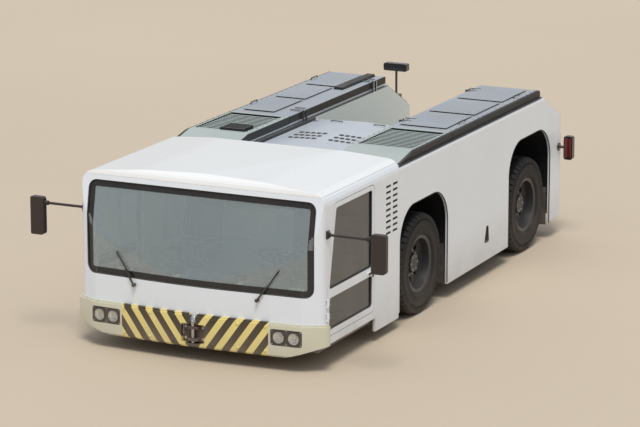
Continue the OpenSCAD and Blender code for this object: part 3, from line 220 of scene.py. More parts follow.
dust_colour = (0.36, 0.30, 0.24, 1)
bare_steel = (0.30, 0.29, 0.28, 1)


def painted(name, colour, roughness, coat, dust_top, dust, wear, spread, radius=0.004, grain=None,
            second=None, second_mask=None):
    mat, tree, shader = new_material(name, coat_weight=coat, coat_roughness=0.15)
    shade = use_group(tree, mottle, Color=colour, Spread=spread, Scale=1.3)["Color"]
    if second_mask:
        shade = mix_colour(second_mask(tree), shade, second(tree) if callable(second) else second)
    edge = use_group(tree, worn_edge, Radius=radius, Amount=wear, Scale=24.0)
    dirt = use_group(tree, road_dust, Top=dust_top, Amount=dust, Scale=2.6)["Mask"]
    shade = mix_colour(dirt, mix_colour(edge["Mask"], shade, bare_steel), dust_colour)
    normal = edge["Normal"]
    if grain:
        strength, scale = grain
        normal = bump(noise(coordinates(tree)[0], scale, 2.0), strength, 0.001, Normal=normal)
    feed(shader, Base_Color=shade, Normal=normal,
         Roughness=calculate("MULTIPLY_ADD", dirt, 0.5, roughness, clamp=True))
    return mat


rail_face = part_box("hood")[1].x + 0.0085


def inner_wall(tree):
    _, x, y, _ = coordinates(tree)
    near = calculate("LESS_THAN", calculate("ABSOLUTE", x), rail_face + 0.002)
    behind = calculate("GREATER_THAN", y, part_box("hood")[1].y + 0.01)
    upright = calculate("GREATER_THAN", calculate("ABSOLUTE", normal_part(tree, "X")), 0.9)
    return product(near, behind, upright)


frame_paint = painted("frame_paint", (0.055, 0.058, 0.062, 1), 0.5, 0.1, 1.2, 0.8, 0.5, 0.10,
                      second=(0.74, 0.79, 0.77, 1), second_mask=inner_wall)


def dress(material, *nodes):
    for node in nodes:
        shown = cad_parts[node].data.materials
        shown.clear()
        shown.append(material)


dress(frame_paint, "chassis")


def only(*chosen):
    bpy.ops.object.select_all(action="DESELECT")
    for piece in chosen:
        piece.select_set(True)
    bpy.context.view_layer.objects.active = chosen[0]


@contextmanager
def edit_mode(piece):
    only(piece)
    bpy.ops.object.mode_set(mode="EDIT")
    bpy.ops.mesh.select_all(action="SELECT")
    yield
    bpy.ops.object.mode_set(mode="OBJECT")


def face_outward():
    bpy.ops.mesh.select_all(action="SELECT")
    bpy.ops.mesh.normals_make_consistent(inside=False)


def settle(piece):
    only(piece)
    bpy.ops.object.transform_apply(location=True, rotation=True, scale=True)
    return piece


def rod(start, end, radius, sides):
    start, end = Vector(start), Vector(end)
    turn = (end - start).to_track_quat("Z", "Y").to_euler()
    bpy.ops.mesh.primitive_cylinder_add(vertices=sides, radius=radius, depth=(end - start).length,
                                        location=(start + end) / 2, rotation=turn)
    return settle(bpy.context.object)


def soften(piece, width, segments=2):
    only(piece)
    edges = piece.modifiers.new("edges", "BEVEL")
    edges.width = width
    edges.segments = segments
    edges.angle_limit = math.radians(35)
    bpy.ops.object.modifier_apply(modifier="edges")
    bpy.ops.object.shade_smooth_by_angle(angle=math.radians(35))
    return piece


def block(low, high, width=0, segments=2):
    low, high = Vector(low), Vector(high)
    bpy.ops.mesh.primitive_cube_add(size=1, location=(low + high) / 2, scale=high - low)
    piece = settle(bpy.context.object)
    return soften(piece, width, segments) if width else piece


def joined(parts):
    if isinstance(parts, bpy.types.Object):
        return parts
    only(*parts)
    if len(parts) > 1:
        bpy.ops.object.join()
    return parts[0]


def copy_of(piece, turn=Matrix.Identity(4)):
    made = piece.copy()
    made.data = piece.data.copy()
    made.data.transform(turn)
    bpy.context.collection.objects.link(made)
    return made


def moved(piece, turn):
    piece.data.transform(turn)
    return piece


def spread(piece, turns):
    return joined([copy_of(piece, turn) for turn in turns[1:]] + [moved(piece, turns[0])])


def mirrored(piece):
    made = copy_of(piece)
    with edit_mode(made):
        bpy.ops.transform.resize(value=(-1, 1, 1), center_override=(0, 0, 0))
        bpy.ops.mesh.normals_make_consistent(inside=False)
    return made


def turned(profile, place=(0, 0, 0), along=(0, 0, 1), sides=32):
    bpy.ops.mesh.primitive_circle_add(vertices=sides, radius=profile[0][0], fill_type="NGON",
                                      location=(0, 0, 0))
    piece = bpy.context.object
    with edit_mode(piece):
        for (r0, h0), (r1, h1) in zip(profile, profile[1:]):
            bpy.ops.mesh.extrude_region_move(TRANSFORM_OT_translate={"value": (0, 0, h1 - h0)})
            bpy.ops.transform.resize(value=(r1 / r0, r1 / r0, 1),
                                     center_override=(0, 0, h1 - profile[0][1]))
        face_outward()
    along = Vector(along).normalized()
    piece.rotation_euler = along.to_track_quat("Z", "Y").to_euler()
    piece.location = Vector(place) + along * profile[0][1]
    settle(piece)
    bpy.ops.object.shade_smooth_by_angle(angle=math.radians(35))
    return piece


def finish(name, parts, material, body="tractor"):
    piece = joined(parts)
    piece.name = name
    piece.data.materials.clear()
    piece.data.materials.append(material)
    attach(piece, body)
    return piece


def pair(name, parts, material, body="tractor"):
    left = joined(parts)
    made = []
    for piece, side in ((left, "_left"), (mirrored(left), "_right")):
        made.append(finish(name + side, piece, material, body if body == "tractor" else body + side))
    return made


def hex_bolt(size=0.024):
    washer = [(size * 0.95, 0), (size * 0.95, size * 0.14), (size * 0.93, size * 0.2)]
    hexagon = [(size * 0.58, size * 0.15), (size * 0.58, size * 0.62), (size * 0.48, size * 0.74)]
    return joined([turned(washer, sides=20), turned(hexagon, sides=6)])


def at(x, y, z, along=(0, 0, 1)):
    turn = Vector(along).to_track_quat("Z", "Y").to_matrix().to_4x4()
    return Matrix.Translation((x, y, z)) @ turn


def middle(node):
    low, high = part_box(node)
    return (low + high) / 2


zinc, tree, shader = new_material("zinc_plate", metallic=0.9)
place = coordinates(tree)[0]
feed(shader, Base_Color=mix_colour(noise(place, 60.0), (0.42, 0.42, 0.40, 1), (0.60, 0.60, 0.57, 1)),
     Roughness=ramp(noise(place, 90.0), 0.3, 0.7, 0.3, 0.55))

rear_y, wheel_z = middle("tyre_rear_left").yz


def bolt_ring(count, radius, x, y, way, start=0):
    angles = [math.radians(start + 360 / count * i) for i in range(count)]
    return [at(x, y + radius * math.cos(a), wheel_z + radius * math.sin(a), (way, 0, 0)) for a in angles]


motor_ring = 0.19
bolts = spread(hex_bolt(), bolt_ring(12, motor_ring, rail_face + 0.07, rear_y, 1, 15))
pair("motor_bolts", bolts, zinc)

# Front axle, steering rod and knuckles. Black steel beam with a double-ended steering cylinder, and
# machined knuckles on kingpins. Glands, ports and pin caps are added here.


def toned(name, grain, first, second, rough=None, **sockets):
    mat, tree, shader = new_material(name, **sockets)
    cloud = noise(coordinates(tree)[0], *grain)
    feed(shader, Base_Color=mix_colour(cloud, first, second))
    if rough:
        feed(shader, Roughness=ramp(cloud, *rough))
    return mat


black_paint = painted("axle_paint", (0.022, 0.022, 0.024, 1), 0.45, 0.1, 1.0, 0.9, 0.6, 0.12)
steel = toned("bright_steel", (40.0, 4.0, (1, 12, 12)), (0.46, 0.46, 0.47, 1), (0.62, 0.62, 0.61, 1),
              (0.2, 0.8, 0.22, 0.42), metallic=1.0)
dress(black_paint, "front_axle")
dress(steel, "steering_rod", "knuckle_left", "knuckle_right")

front_y = middle("tyre_front_left").y
rod_y = middle("steering_rod").y
gland_x = 0.30
glands = []
for side in (-1, 1):
    glands.append(turned([(0.052, 0), (0.052, 0.02), (0.04, 0.024), (0.04, 0.034)],
                         (side * gland_x, rod_y, wheel_z), (side, 0, 0)))
    glands.append(turned([(0.016, 0), (0.016, 0.02), (0.011, 0.022), (0.011, 0.035)],
                         (side * (gland_x - 0.05), rod_y, wheel_z + 0.045), sides=16))
finish("steering_glands", glands, zinc)

king_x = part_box("knuckle_left")[0].x + 0.055
pin_cap = [(0.042, 0), (0.042, 0.006), (0.036, 0.010), (0.008, 0.011), (0.007, 0.022)]
caps = [turned(pin_cap, (side * king_x, front_y, wheel_z + level * 0.1375), (0, 0, level), 24)
        for side in (-1, 1) for level in (-1, 1)]
finish("kingpin_caps", caps, black_paint)

# Rims. Pressed steel wheels in dark grey paint, bolted to the hub by ten nuts. The disc, hand holes and
# flanges come from the frame; the nuts and the hub cap's bolts are fitted here.
rim_paint = painted("rim_paint", (0.026, 0.028, 0.032, 1), 0.42, 0.15, 0.9, 0.16, 0.5, 0.08)
nut_ring, cap_ring = 0.138, 0.078
nut = joined([hex_bolt(0.026), rod((0, 0, 0), (0, 0, 0.030), 0.010, 12)])
wheels = [(end + "_" + side, way, y) for end, y in (("front", front_y), ("rear", rear_y))
          for side, way in (("left", 1), ("right", -1))]
for name, way, y in wheels:
    dress(rim_paint, "rim_" + name)
    x = middle("rim_" + name).x
    finish("nuts_" + name, spread(copy_of(nut), bolt_ring(10, nut_ring, x + way * 0.063, y, way)),
           zinc, "wheel_" + name)
    finish("cap_bolts_" + name, spread(hex_bolt(0.012), bolt_ring(6, cap_ring, x + way * 0.130, y, way)),
           zinc, "wheel_" + name)
bpy.data.objects.remove(nut)

# Tyres. Wide industrial tyres of black rubber with a block tread: a moulded carcass with rings on its
# walls, and rows of blocks around it. Each replaces the plain ring in the frame.
rubber, tree, shader = new_material("tyre_rubber", specular_ior_level=0.35)
worn = use_group(tree, worn_edge, Radius=0.003, Amount=0.6, Scale=8.0)["Mask"]
grime = use_group(tree, road_dust, Top=1.1, Amount=0.14, Scale=4.0)["Mask"]
shade = use_group(tree, mottle, Color=(0.010, 0.010, 0.011, 1), Spread=0.12, Scale=5.0)["Color"]
shade = mix_colour(grime, mix_colour(worn, shade, (0.040, 0.039, 0.037, 1)), dust_colour)
feed(shader, Base_Color=shade, Roughness=calculate("MULTIPLY_ADD", grime, 0.3, 0.62, clamp=True),
     Normal=bump(noise(coordinates(tree)[0], 700.0, 2.0), 0.35, 0.001))

tyre_r = wheel_z
tread_h = 0.022
rim_r = 0.2905
carcass = [
    (rim_r, 0.173), (rim_r + 0.022, 0.186), (rim_r + 0.032, 0.205), (rim_r + 0.055, 0.2135),
    (rim_r + 0.058, 0.2148), (rim_r + 0.064, 0.2148), (rim_r + 0.067, 0.2138),
    (rim_r + 0.11, 0.2145), (rim_r + 0.15, 0.213), (rim_r + 0.154, 0.2145), (rim_r + 0.164, 0.2140),
    (rim_r + 0.168, 0.209), (tyre_r - 0.052, 0.204), (tyre_r - tread_h - 0.006, 0.170),
    (tyre_r - tread_h, 0.135), (tyre_r - tread_h + 0.002, 0.0),
]
section = carcass + [(r, -w) for r, w in reversed(carcass[:-1])]
bpy.ops.mesh.primitive_circle_add(vertices=len(section), radius=0.1, fill_type="NOTHING")
tyre = bpy.context.object
for vertex, (r, w) in zip(tyre.data.vertices, section):
    vertex.co = (w, 0, r)
with edit_mode(tyre):
    bpy.ops.mesh.spin(steps=96, angle=2 * math.pi, center=(0, 0, 0), axis=(1, 0, 0))
    bpy.ops.mesh.select_all(action="SELECT")
    bpy.ops.mesh.remove_doubles(threshold=0.0001)
    face_outward()
bpy.ops.object.shade_smooth_by_angle(angle=math.radians(40))


def rolled(count, step=0.0):
    return [Matrix.Rotation(2 * math.pi * (i + step) / count, 4, "X") for i in range(count)]


pitches = 44
pitch = 2 * math.pi * tyre_r / pitches
blocks = []
# Columns: inner and outer x of a block, its offset round the tyre in pitches, the side that slopes.
for x0, x1, shift, slope in ((0.012, 0.070, 0.0, 0), (-0.070, -0.012, 0.5, 0), (0.084, 0.150, 0.25, 0),
                             (-0.150, -0.084, 0.75, 0), (0.162, 0.206, 0.0, 1), (-0.206, -0.162, 0.5, -1)):
    lug = block((x0, -pitch * 0.41, tyre_r - tread_h - 0.006), (x1, pitch * 0.41, tyre_r - 0.0015))
    for vertex in lug.data.vertices:
        if slope and vertex.co.x * slope > 0.18:
            vertex.co.z -= 0.022 if vertex.co.z > tyre_r - 0.01 else 0.045
        if abs(vertex.co.x) < 0.16:
            vertex.co.y += 0.14 * vertex.co.x
    blocks.append(moved(soften(lug, 0.003, 1), rolled(pitches, shift)[0]))
rows = spread(joined(blocks), rolled(pitches))
rib = block((0.2035, -0.004, tyre_r - 0.088), (0.2125, 0.004, tyre_r - 0.062))
ribs = [copy_of(rib, turn @ Matrix.Translation((x, 0, 0))) for x in (0, -0.416) for turn in rolled(88)]
bpy.data.objects.remove(rib)
tyre = joined([tyre, rows] + ribs)
for name, _, y in wheels:
    turn = Matrix.Translation((middle("tyre_" + name).x, y, wheel_z))
    made = finish("treaded_tyre_" + name, copy_of(tyre, turn), rubber, "wheel_" + name)
    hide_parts("tyre_" + name)
bpy.data.objects.remove(tyre)

# Body sides. Each arm is one welded skin of 3 cm sandwich panel in white paint, with black wheel
# housings behind the arches. Its white is given cooler and darker than the roof's, painted shade of the
# sky-lit sides. Rubber arch lips, edge strips, mud flaps and rivets are fixed on afterwards.
body_low, body_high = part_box("body_left")
half_w, body_top = body_high.x, body_high.z
# The white paint made cooler and darker: painted shade of the sky-lit walls.
shaded_white = (0.79, 0.84, 0.915, 1)
housing_black = (0.018, 0.018, 0.020, 1)


def rain_marks(tree):
    return ramp(noise(coordinates(tree)[0], 3.0, 5.0, (9, 0.7, 0.7)), 0.55, 0.80, 0.0, 0.10)


def inside_arm(tree):
    _, x, _, z = coordinates(tree)
    inboard = calculate("LESS_THAN", calculate("ABSOLUTE", x), half_w - 0.0285)
    below = calculate("LESS_THAN", z, body_top - 0.035)
    return product(inboard, below, calculate("LESS_THAN", normal_part(tree, "Z"), 0.2))


body_paint = painted("body_paint", shaded_white, 0.30, 0.5, 0.75, 0.55, 0.30, 0.02, 0.006,
                     second=housing_black, second_mask=inside_arm)
dress(body_paint, "body_left", "body_right")


def tube(points, radius, closed=False, sides=8):
    curve = bpy.data.curves.new("tube", "CURVE")
    curve.dimensions = "3D"
    curve.bevel_depth = radius
    curve.bevel_resolution = sides // 4
    curve.use_fill_caps = True
    line = curve.splines.new("POLY")
    line.points.add(len(points) - 1)
    for point, place in zip(line.points, points):
        point.co = (*place, 1)
    line.use_cyclic_u = closed
    made = bpy.data.objects.new("tube", curve)
    bpy.context.collection.objects.link(made)
    only(made)
    bpy.ops.object.convert(target="MESH")
    bpy.ops.object.shade_smooth_by_angle(angle=math.radians(50))
    return made


def loop(corners, radius, steps=6):
    made = []
    for before, corner, after in zip(corners[-1:] + corners[:-1], corners, corners[1:] + corners[:1]):
        before, corner, after = Vector(before), Vector(corner), Vector(after)
        first, second = (before - corner).normalized(), (after - corner).normalized()
        half = first.angle(second) / 2
        centre = corner + (first + second).normalized() * radius / math.sin(half)
        start = (corner + first * radius / math.tan(half) - centre).normalized()
        end = (corner + second * radius / math.tan(half) - centre).normalized()
        made += [centre + start.slerp(end, i / steps) * radius for i in range(steps + 1)]
    return made


arch_half, arch_r = 0.635, 0.38
arches = ((front_y, 1.275), (rear_y, 1.375))
lips = []
for y, top in arches:
    line = [(-arch_half, 0.20), (-arch_half, top - arch_r)]
    for i in range(1, 25):
        a = math.radians(180 - 7.5 * i)
        corner_y = (arch_half - arch_r) * (1 if i >= 12 else -1)
        line.append((corner_y + arch_r * math.cos(a), top - arch_r + arch_r * math.sin(a)))
    line.append((arch_half, 0.20))
    lips.append(tube([(half_w - 0.004, y + dy, z) for dy, z in line], 0.0065))

black_rubber, tree, shader = new_material("black_rubber", specular_ior_level=0.4)
shade = use_group(tree, mottle, Color=(0.018, 0.018, 0.019, 1), Spread=0.10, Scale=7.0)["Color"]
grime = use_group(tree, road_dust, Top=1.4, Amount=0.5, Scale=4.0)["Mask"]
feed(shader, Base_Color=mix_colour(grime, shade, dust_colour),
     Roughness=calculate("MULTIPLY_ADD", grime, 0.3, 0.55, clamp=True),
     Normal=bump(noise(coordinates(tree)[0], 900.0, 2.0), 0.25, 0.0006))
pair("arch_lips", lips, black_rubber)

strip = block((half_w - 0.02, body_low.y + 0.01, body_top + 0.0005),
              (half_w - 0.003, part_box("deck_left")[1].y, body_top + 0.012), 0.004)
pair("side_strip", strip, black_rubber)

rivet = turned([(0.0075, 0), (0.0072, 0.0018), (0.004, 0.0032)], sides=12)
places = [at(half_w - 0.0002, front_y + 0.68 + 0.11 * i, body_top - 0.055, (1, 0, 0)) for i in range(16)]
pair("panel_rivets", spread(copy_of(rivet), places), body_paint)

flaps = []
for y in (front_y + arch_half + 0.012, rear_y + arch_half + 0.012):
    flaps.append(block((rail_face + 0.12, y, 0.17), (half_w - 0.05, y + 0.012, 0.62), 0.004))
pair("mud_flaps", flaps, black_rubber)

# Hand holes. A rubber cup is pressed in behind the small opening low in each side, and a ribbed rubber
# sleeve lines its edge.
hole_y, hole_low, hole_high = 1.04, 0.40, 0.58
cup = block((half_w - 0.095, hole_y - 0.078, hole_low - 0.014),
            (half_w - 0.0302, hole_y + 0.078, hole_high + 0.014))
with edit_mode(cup):
    bpy.ops.mesh.select_all(action="DESELECT")
for side_face in cup.data.polygons:
    side_face.select = side_face.normal.x > 0.9
bpy.ops.object.mode_set(mode="EDIT")
bpy.ops.mesh.inset(thickness=0.005)
bpy.ops.mesh.extrude_region_move(TRANSFORM_OT_translate={"value": (-0.058, 0, 0)})
bpy.ops.object.mode_set(mode="OBJECT")
ribs = []
for i in range(5):
    x = half_w - 0.0015 - 0.0070 * i
    edge = [(x, hole_y + dy, z) for dy, z in ((-0.060, hole_low), (0.060, hole_low), (0.040, hole_high),
                                              (-0.010, hole_high))]
    ribs.append(tube(loop(edge, 0.016, 5), 0.005, True))
pair("hand_cup", [cup] + ribs, black_rubber)

# Hood. A crowned lid of folded sheet between the arms, painted white, hinged at its front edge, with
# folded-in grips, quarter-turn latches and two rows of short air slots. Its white is given as a dark
# blue-grey, painted shade on the lid between the arms.
# A dark blue-grey in place of the hood's white: painted shade.
hood_shaded_white = painted("hood_shaded_white", (0.53, 0.57, 0.64, 1), 0.34, 0.4, 0.7, 0.4, 0.3, 0.03, 0.005,
                     second=housing_black, second_mask=rain_marks)
dress(hood_shaded_white, "hood")
hood_low, hood_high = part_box("hood")
hood_slope = 0.022 / hood_high.x
black_plastic, tree, shader = new_material("black_plastic")
place = coordinates(tree)[0]
shade = use_group(tree, mottle, Color=(0.022, 0.022, 0.024, 1), Spread=0.08, Scale=6.0)["Color"]
dirt = use_group(tree, road_dust, Top=1.2, Amount=0.35, Scale=4.0)["Mask"]
feed(shader, Base_Color=mix_colour(dirt, shade, dust_colour),
     Roughness=ramp(noise(place, 30.0), 0.3, 0.7, 0.38, 0.52),
     Normal=bump(noise(place, 1100.0, 2.0), 0.2, 0.0004))


def hood_z(x):
    return hood_high.z - abs(x) * hood_slope


slots = []
for row in range(3):
    for x in [side * (0.10 + 0.07 * i) for side in (-1, 1) for i in range(5)]:
        y = hood_low.y + 0.95 + 0.14 * row
        part = block((x - 0.024, y, hood_z(x) - 0.004), (x + 0.024, y + 0.05, hood_z(x) + 0.006))
        for vertex in part.data.vertices:
            if vertex.co.z > hood_z(x) and vertex.co.y < y + 0.01:
                vertex.co.z -= 0.0085
        slots.append(soften(part, 0.002, 1))
finish("hood_slots", slots, black_plastic, "hood")
latches = []
for x in (0.07 - hood_high.x, hood_high.x - 0.07):
    z = hood_z(x)
    for y in (hood_low.y + 0.45, hood_high.y - 0.12):
        latches.append(turned([(0.030, 0), (0.030, 0.004), (0.024, 0.006), (0.013, 0.006), (0.012, 0.010)],
                              (x, y, z - 0.002), sides=24))
        latches.append(block((x - 0.022, y - 0.004, z + 0.003), (x + 0.022, y + 0.004, z + 0.0105), 0.002))
finish("hood_latches", latches, zinc, "hood")


def handle(x, y, z, bends, radius):
    return tube([(x + dx, y + dy, z + dz) for dx, dy, dz in bends], radius)


# Columns: x, y and z of each bend from the middle of the handle's foot.
bends = [(-0.07, 0, -0.002), (-0.07, 0, 0.004), (-0.062, 0, 0.0095), (0.062, 0, 0.0095),
         (0.07, 0, 0.004), (0.07, 0, -0.002)]
grips = [handle(x, hood_high.y - 0.10, hood_z(x), bends, 0.005) for x in (-0.26, 0.26)]
finish("hood_grips", grips, black_plastic, "hood")

# Grilles and deck covers. Grey-blue painted steel lids, hinged along the gap, behind louvred air
# grilles; their folded sides are painted near-black as painted shade. Grips, latches and the non-slip
# coat on top belong to the lids.
deck_low, deck_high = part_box("deck_left")
grille_low, grille_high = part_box("grille_left")
deck_top = deck_high.z


# Faces turned away from the sky go near-black, a painted shade; raised parts above the deck and the strip
# along the outer edge go near-black as well.
def shade_sides_and_dark_parts(tree):
    _, x, _, z = coordinates(tree)
    side = ramp(normal_part(tree, "Z", "TexCoord"), 0.80, 0.55)
    raised = calculate("GREATER_THAN", z, deck_top + 0.008)
    rim = calculate("GREATER_THAN", calculate("ABSOLUTE", x), half_w - 0.062)
    return calculate("MAXIMUM", calculate("MAXIMUM", side, raised), rim)


def deck_finish(name, colour, strength):
    return painted(name, colour, 0.52, 0.05, 0.5, 0.6, 0.45, 0.10, 0.003, (strength, 260.0),
                   (0.014, 0.014, 0.016, 1), shade_sides_and_dark_parts)


deck_paint = deck_finish("deck_paint", (0.36, 0.39, 0.44, 1), 0.5)
grille_paint = deck_finish("grille_paint", (0.40, 0.46, 0.45, 1), 0.2)
dress(deck_paint, "deck_left", "deck_right")
dress(grille_paint, "grille_left", "grille_right")

screen_wire = toned("grille_screen", (25.0,), (0.02, 0.02, 0.022, 1), (0.05, 0.05, 0.05, 1),
                    metallic=0.4, roughness=0.6)
back = block((grille_low.x + 0.05, grille_low.y + 0.40, body_top - 0.20),
             (grille_high.x - 0.05, grille_high.y - 0.05, body_top - 0.17), 0.004, 1)
pair("air_box", back, screen_wire)

places = [at(x, grille_low.y + 0.50 + 0.132 * i, deck_top) for i in range(7)
          for x in (grille_low.x + 0.03, grille_high.x - 0.035)]
screw = turned([(0.010, -0.001), (0.010, 0.002), (0.008, 0.0042), (0.0045, 0.0045), (0.004, 0.0028)],
               sides=14)
pair("grille_screws", spread(copy_of(screw), places), zinc)

run = (deck_high.y - deck_low.y - 0.14) / 19
places = [at(deck_high.x - 0.045, deck_low.y + 0.07 + i * run, deck_top) for i in range(20)]
pair("deck_screws", spread(screw, places), zinc, "deck")


def tread_stud(half_x, half_y, height):
    stud = block((-half_x, -half_y, 0), (half_x, half_y, height))
    for vertex in stud.data.vertices:
        if vertex.co.z > height / 2:
            vertex.co.x *= 0.6
            vertex.co.y *= 0.5
    return stud


def slanted(x, y, z, count):
    return Matrix.Translation((x, y, z)) @ Matrix.Rotation(math.radians(45 if count % 2 else -45), 4, "Z")


def walk_plates(first, columns):
    plates, places = [], []
    step = 0.0425
    x0 = deck_low.x + 0.10 + step * first
    for y0 in (deck_low.y + 0.10, deck_low.y + 0.90, deck_low.y + 1.70):
        plates.append(block((x0, y0, deck_top - 0.001), (x0 + step * columns, y0 + 0.74, deck_top + 0.003),
                            0.0015, 1))
        for row, column in [(row, column) for row in range(17) for column in range(columns)]:
            x, y = x0 + 0.021 + step * column, y0 + 0.03 + step * row
            places.append(slanted(x, y, deck_top + 0.0029, row + column))
    return joined(plates + [spread(tread_stud(0.011, 0.0035, 0.0022), places)])


finish("walk_plates_left", walk_plates(0, 13), deck_paint, "deck_left")
narrow = walk_plates(4, 9)
finish("walk_plates_right", mirrored(narrow), deck_paint, "deck_right")
bpy.data.objects.remove(narrow)

bends = [(0, -0.08, -0.002), (0, -0.08, 0.014), (0, -0.07, 0.022), (0, 0.07, 0.022), (0, 0.08, 0.014),
         (0, 0.08, -0.002)]
grips = [handle(deck_high.x - 0.075, y, deck_top, bends, 0.006)
         for y in (deck_low.y + 0.45, deck_high.y - 0.55)]
pair("deck_grips", grips, black_plastic, "deck")
straps = []
for y in [end + shift for end in (deck_low.y + 0.35, deck_high.y - 0.37) for shift in (-0.062, 0.062)]:
    straps.append(block((deck_low.x + 0.03, y - 0.012, deck_top - 0.001),
                        (deck_low.x + 0.16, y + 0.012, deck_top + 0.005), 0.002, 1))
pair("deck_straps", straps, black_paint, "deck")

# Cab shell. A welded frame with smooth skins, white outside and grey inside, under a crowned roof of
# one moulded panel. The walls take the cooler, darker white as painted shade, and the roof a lighter,
# neutral copy as painted sunlight. Black plates with angled blades fill the two columns of slots behind
# each door, painting the shade inside the recesses.
cab_middle = (0.0, -2.4, 1.05)
cab_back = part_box("cab_frame")[1].y
inside_grey = (0.78, 0.81, 0.83, 1)


def inner_skin(tree):
    place, own = coordinates(tree)[0], add_node(tree, "TexCoord").outputs["Normal"]
    out = add_node(tree, "VectorMath", {0: place, 1: cab_middle}, operation="SUBTRACT").outputs[0]
    facing = add_node(tree, "VectorMath", {0: out, 1: own}, operation="DOT_PRODUCT").outputs["Value"]
    return calculate("LESS_THAN", facing, -0.05)


cab_paint = painted("cab_paint", shaded_white, 0.28, 0.6, 0.7, 0.5, 0.25, 0.015, 0.006,
                    second=inside_grey, second_mask=inner_skin)
# The same white, lighter and neutral: a painted highlight of the sunlit roof.
roof_paint = painted("roof_paint", (0.86, 0.87, 0.88, 1), 0.26, 0.6, 0.7, 0.12, 0.2, 0.012, 0.006,
                     second=inside_grey, second_mask=inner_skin)
dress(cab_paint, "cab_frame")
dress(roof_paint, "cab_roof")

# Black plates at the slot floors stand in for the shade inside the recesses.
slot_shade_plates = []
for y in (cab_back - 0.33, cab_back - 0.16):
    for z in [1.642 - 0.062 * i for i in range(1, 10)]:
        slot_shade_plates.append(block((half_w - 0.0119, y + 0.0005, z + 0.0005),
                             (half_w - 0.0105, y + 0.1195, z + 0.0255)))
        blade = block((half_w - 0.0110, y + 0.001, z + 0.011), (half_w - 0.0015, y + 0.119, z + 0.0135))
        for vertex in blade.data.vertices:
            if vertex.co.x > half_w - 0.005:
                vertex.co.z -= 0.006
        slot_shade_plates.append(blade)
pair("cab_slots", slot_shade_plates, black_plastic)

# Cab floor. A moulded rubber mat with fine ribs, glued over the floor and scuffed where feet rest.
floor_mat, tree, shader = new_material("floor_mat")
place, x, _, _ = coordinates(tree)
worn = ramp(noise(place, 6.0, 5.0), 0.45, 0.7)
ribs = calculate("SINE", product(x, 520.0))
feed(shader, Base_Color=mix_colour(worn, (0.030, 0.031, 0.033, 1), (0.075, 0.072, 0.068, 1)),
     Roughness=ramp(worn, 0.0, 1.0, 0.6, 0.8), Normal=bump(ribs, 0.5, 0.002))
dress(floor_mat, "cab_floor")

# Windshield and rear window. Curved tinted safety glass bonded into the frame, with a printed black
# edge on its face and a rubber bead that fills the step to the skin. Their pale blue-white base colour
# shows as a diffuse haze, partly tint and partly a painted reflection of the sky.


def glass(name, tint_and_painted_haze, haze, passing, solid, gleam):
    mat, tree, shader = new_material(name, transmission_weight=passing, ior=1.45, alpha=solid,
                                     coat_weight=1.0, coat_ior=gleam, coat_roughness=0.04)
    smear = ramp(noise(coordinates(tree)[0], 2.5, 5.0, (1, 1, 0.5)), 0.42, 0.72)
    dusty = use_group(tree, road_dust, Top=1.6, Amount=0.07, Scale=3.0)["Mask"]
    shade = mix_colour(product(smear, 0.12), tint_and_painted_haze, (0.80, 0.82, 0.80, 1))
    rough = calculate("MULTIPLY_ADD", smear, haze, 0.01)
    feed(shader, Base_Color=mix_colour(dusty, shade, dust_colour),
         Roughness=calculate("ADD", rough, product(dusty, 0.2)))
    return mat


# Pale blue-white base colour: partly tint, partly a painted sky reflection on the glass.
dress(glass("screen_glass", (0.64, 0.82, 0.90, 1), 0.08, 0.50, 0.38, 2.8), "windshield", "rear_window")
black_edge = toned("black_edge", (9.0, 4.0), (0.012, 0.012, 0.014, 1), (0.030, 0.030, 0.032, 1),
                   (0.3, 0.7, 0.12, 0.25))
nose_y = cad_box[0][1]


def touch(node, origin, way):
    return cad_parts[node].ray_cast(Vector(origin), Vector(way))[1]


def face_y(node, x, z):
    return touch(node, (x, nose_y - 0.6, z), (0, 1, 0)).y


def window_points(low, high, radius, inset, depth, steps=8, runs=(48, 20)):
    x0, x1, z0, z1 = low.x + inset, high.x - inset, low.z + inset, high.z - inset
    arcs = loop([(x0, 0, z0), (x1, 0, z0), (x1, 0, z1), (x0, 0, z1)], radius - inset, steps)
    made = []
    for i, point in enumerate(arcs):
        after = arcs[(i + 1) % len(arcs)]
        corner = (i + 1) // (steps + 1) - 1
        count = runs[corner % 2] if (i + 1) % (steps + 1) == 0 else 1
        made += [point.lerp(after, k / count) for k in range(count)]
    return [Vector((p.x, depth(p.x, p.z), p.z)) for p in made]


def band(outer, inner, thick):
    count = len(outer)
    bpy.ops.mesh.primitive_circle_add(vertices=count, radius=1, fill_type="NOTHING", location=(0, 0, 0))
    piece = bpy.context.object
    with edit_mode(piece):
        bpy.ops.mesh.extrude_edges_move()
    ring = [vertex.co.copy() for vertex in piece.data.vertices[:count]]
    for vertex in piece.data.vertices[count:]:
        vertex.co = inner[min(range(count), key=lambda i: (ring[i] - vertex.co).length)]
    for vertex, point in zip(piece.data.vertices[:count], outer):
        vertex.co = point
    shell = piece.modifiers.new("shell", "SOLIDIFY")
    shell.thickness = thick
    shell.offset = 0
    bpy.ops.object.modifier_apply(modifier="shell")
    with edit_mode(piece):
        face_outward()
    bpy.ops.object.shade_smooth_by_angle(angle=math.radians(40))
    return piece


def glazing(name, node, radius, outer, inner, depth, thick, bead):
    low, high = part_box(node)
    edge = band(window_points(low, high, radius, outer, depth),
                window_points(low, high, radius, inner, depth), thick)
    finish(name + "_edge", edge, black_edge)
    line = window_points(low, high, radius, 0.004, lambda x, z: depth(x, z) + bead)
    finish(name + "_seal", tube(line, 0.0085, True), black_rubber)


glazing("windshield", "windshield", 0.09, 0.003, 0.070, lambda x, z: face_y("windshield", x, z) - 0.0012,
        0.0012, -0.006)
glazing("rear", "rear_window", 0.06, 0.001, 0.030, lambda x, z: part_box("rear_window")[1].y, 0.0016, 0.007)

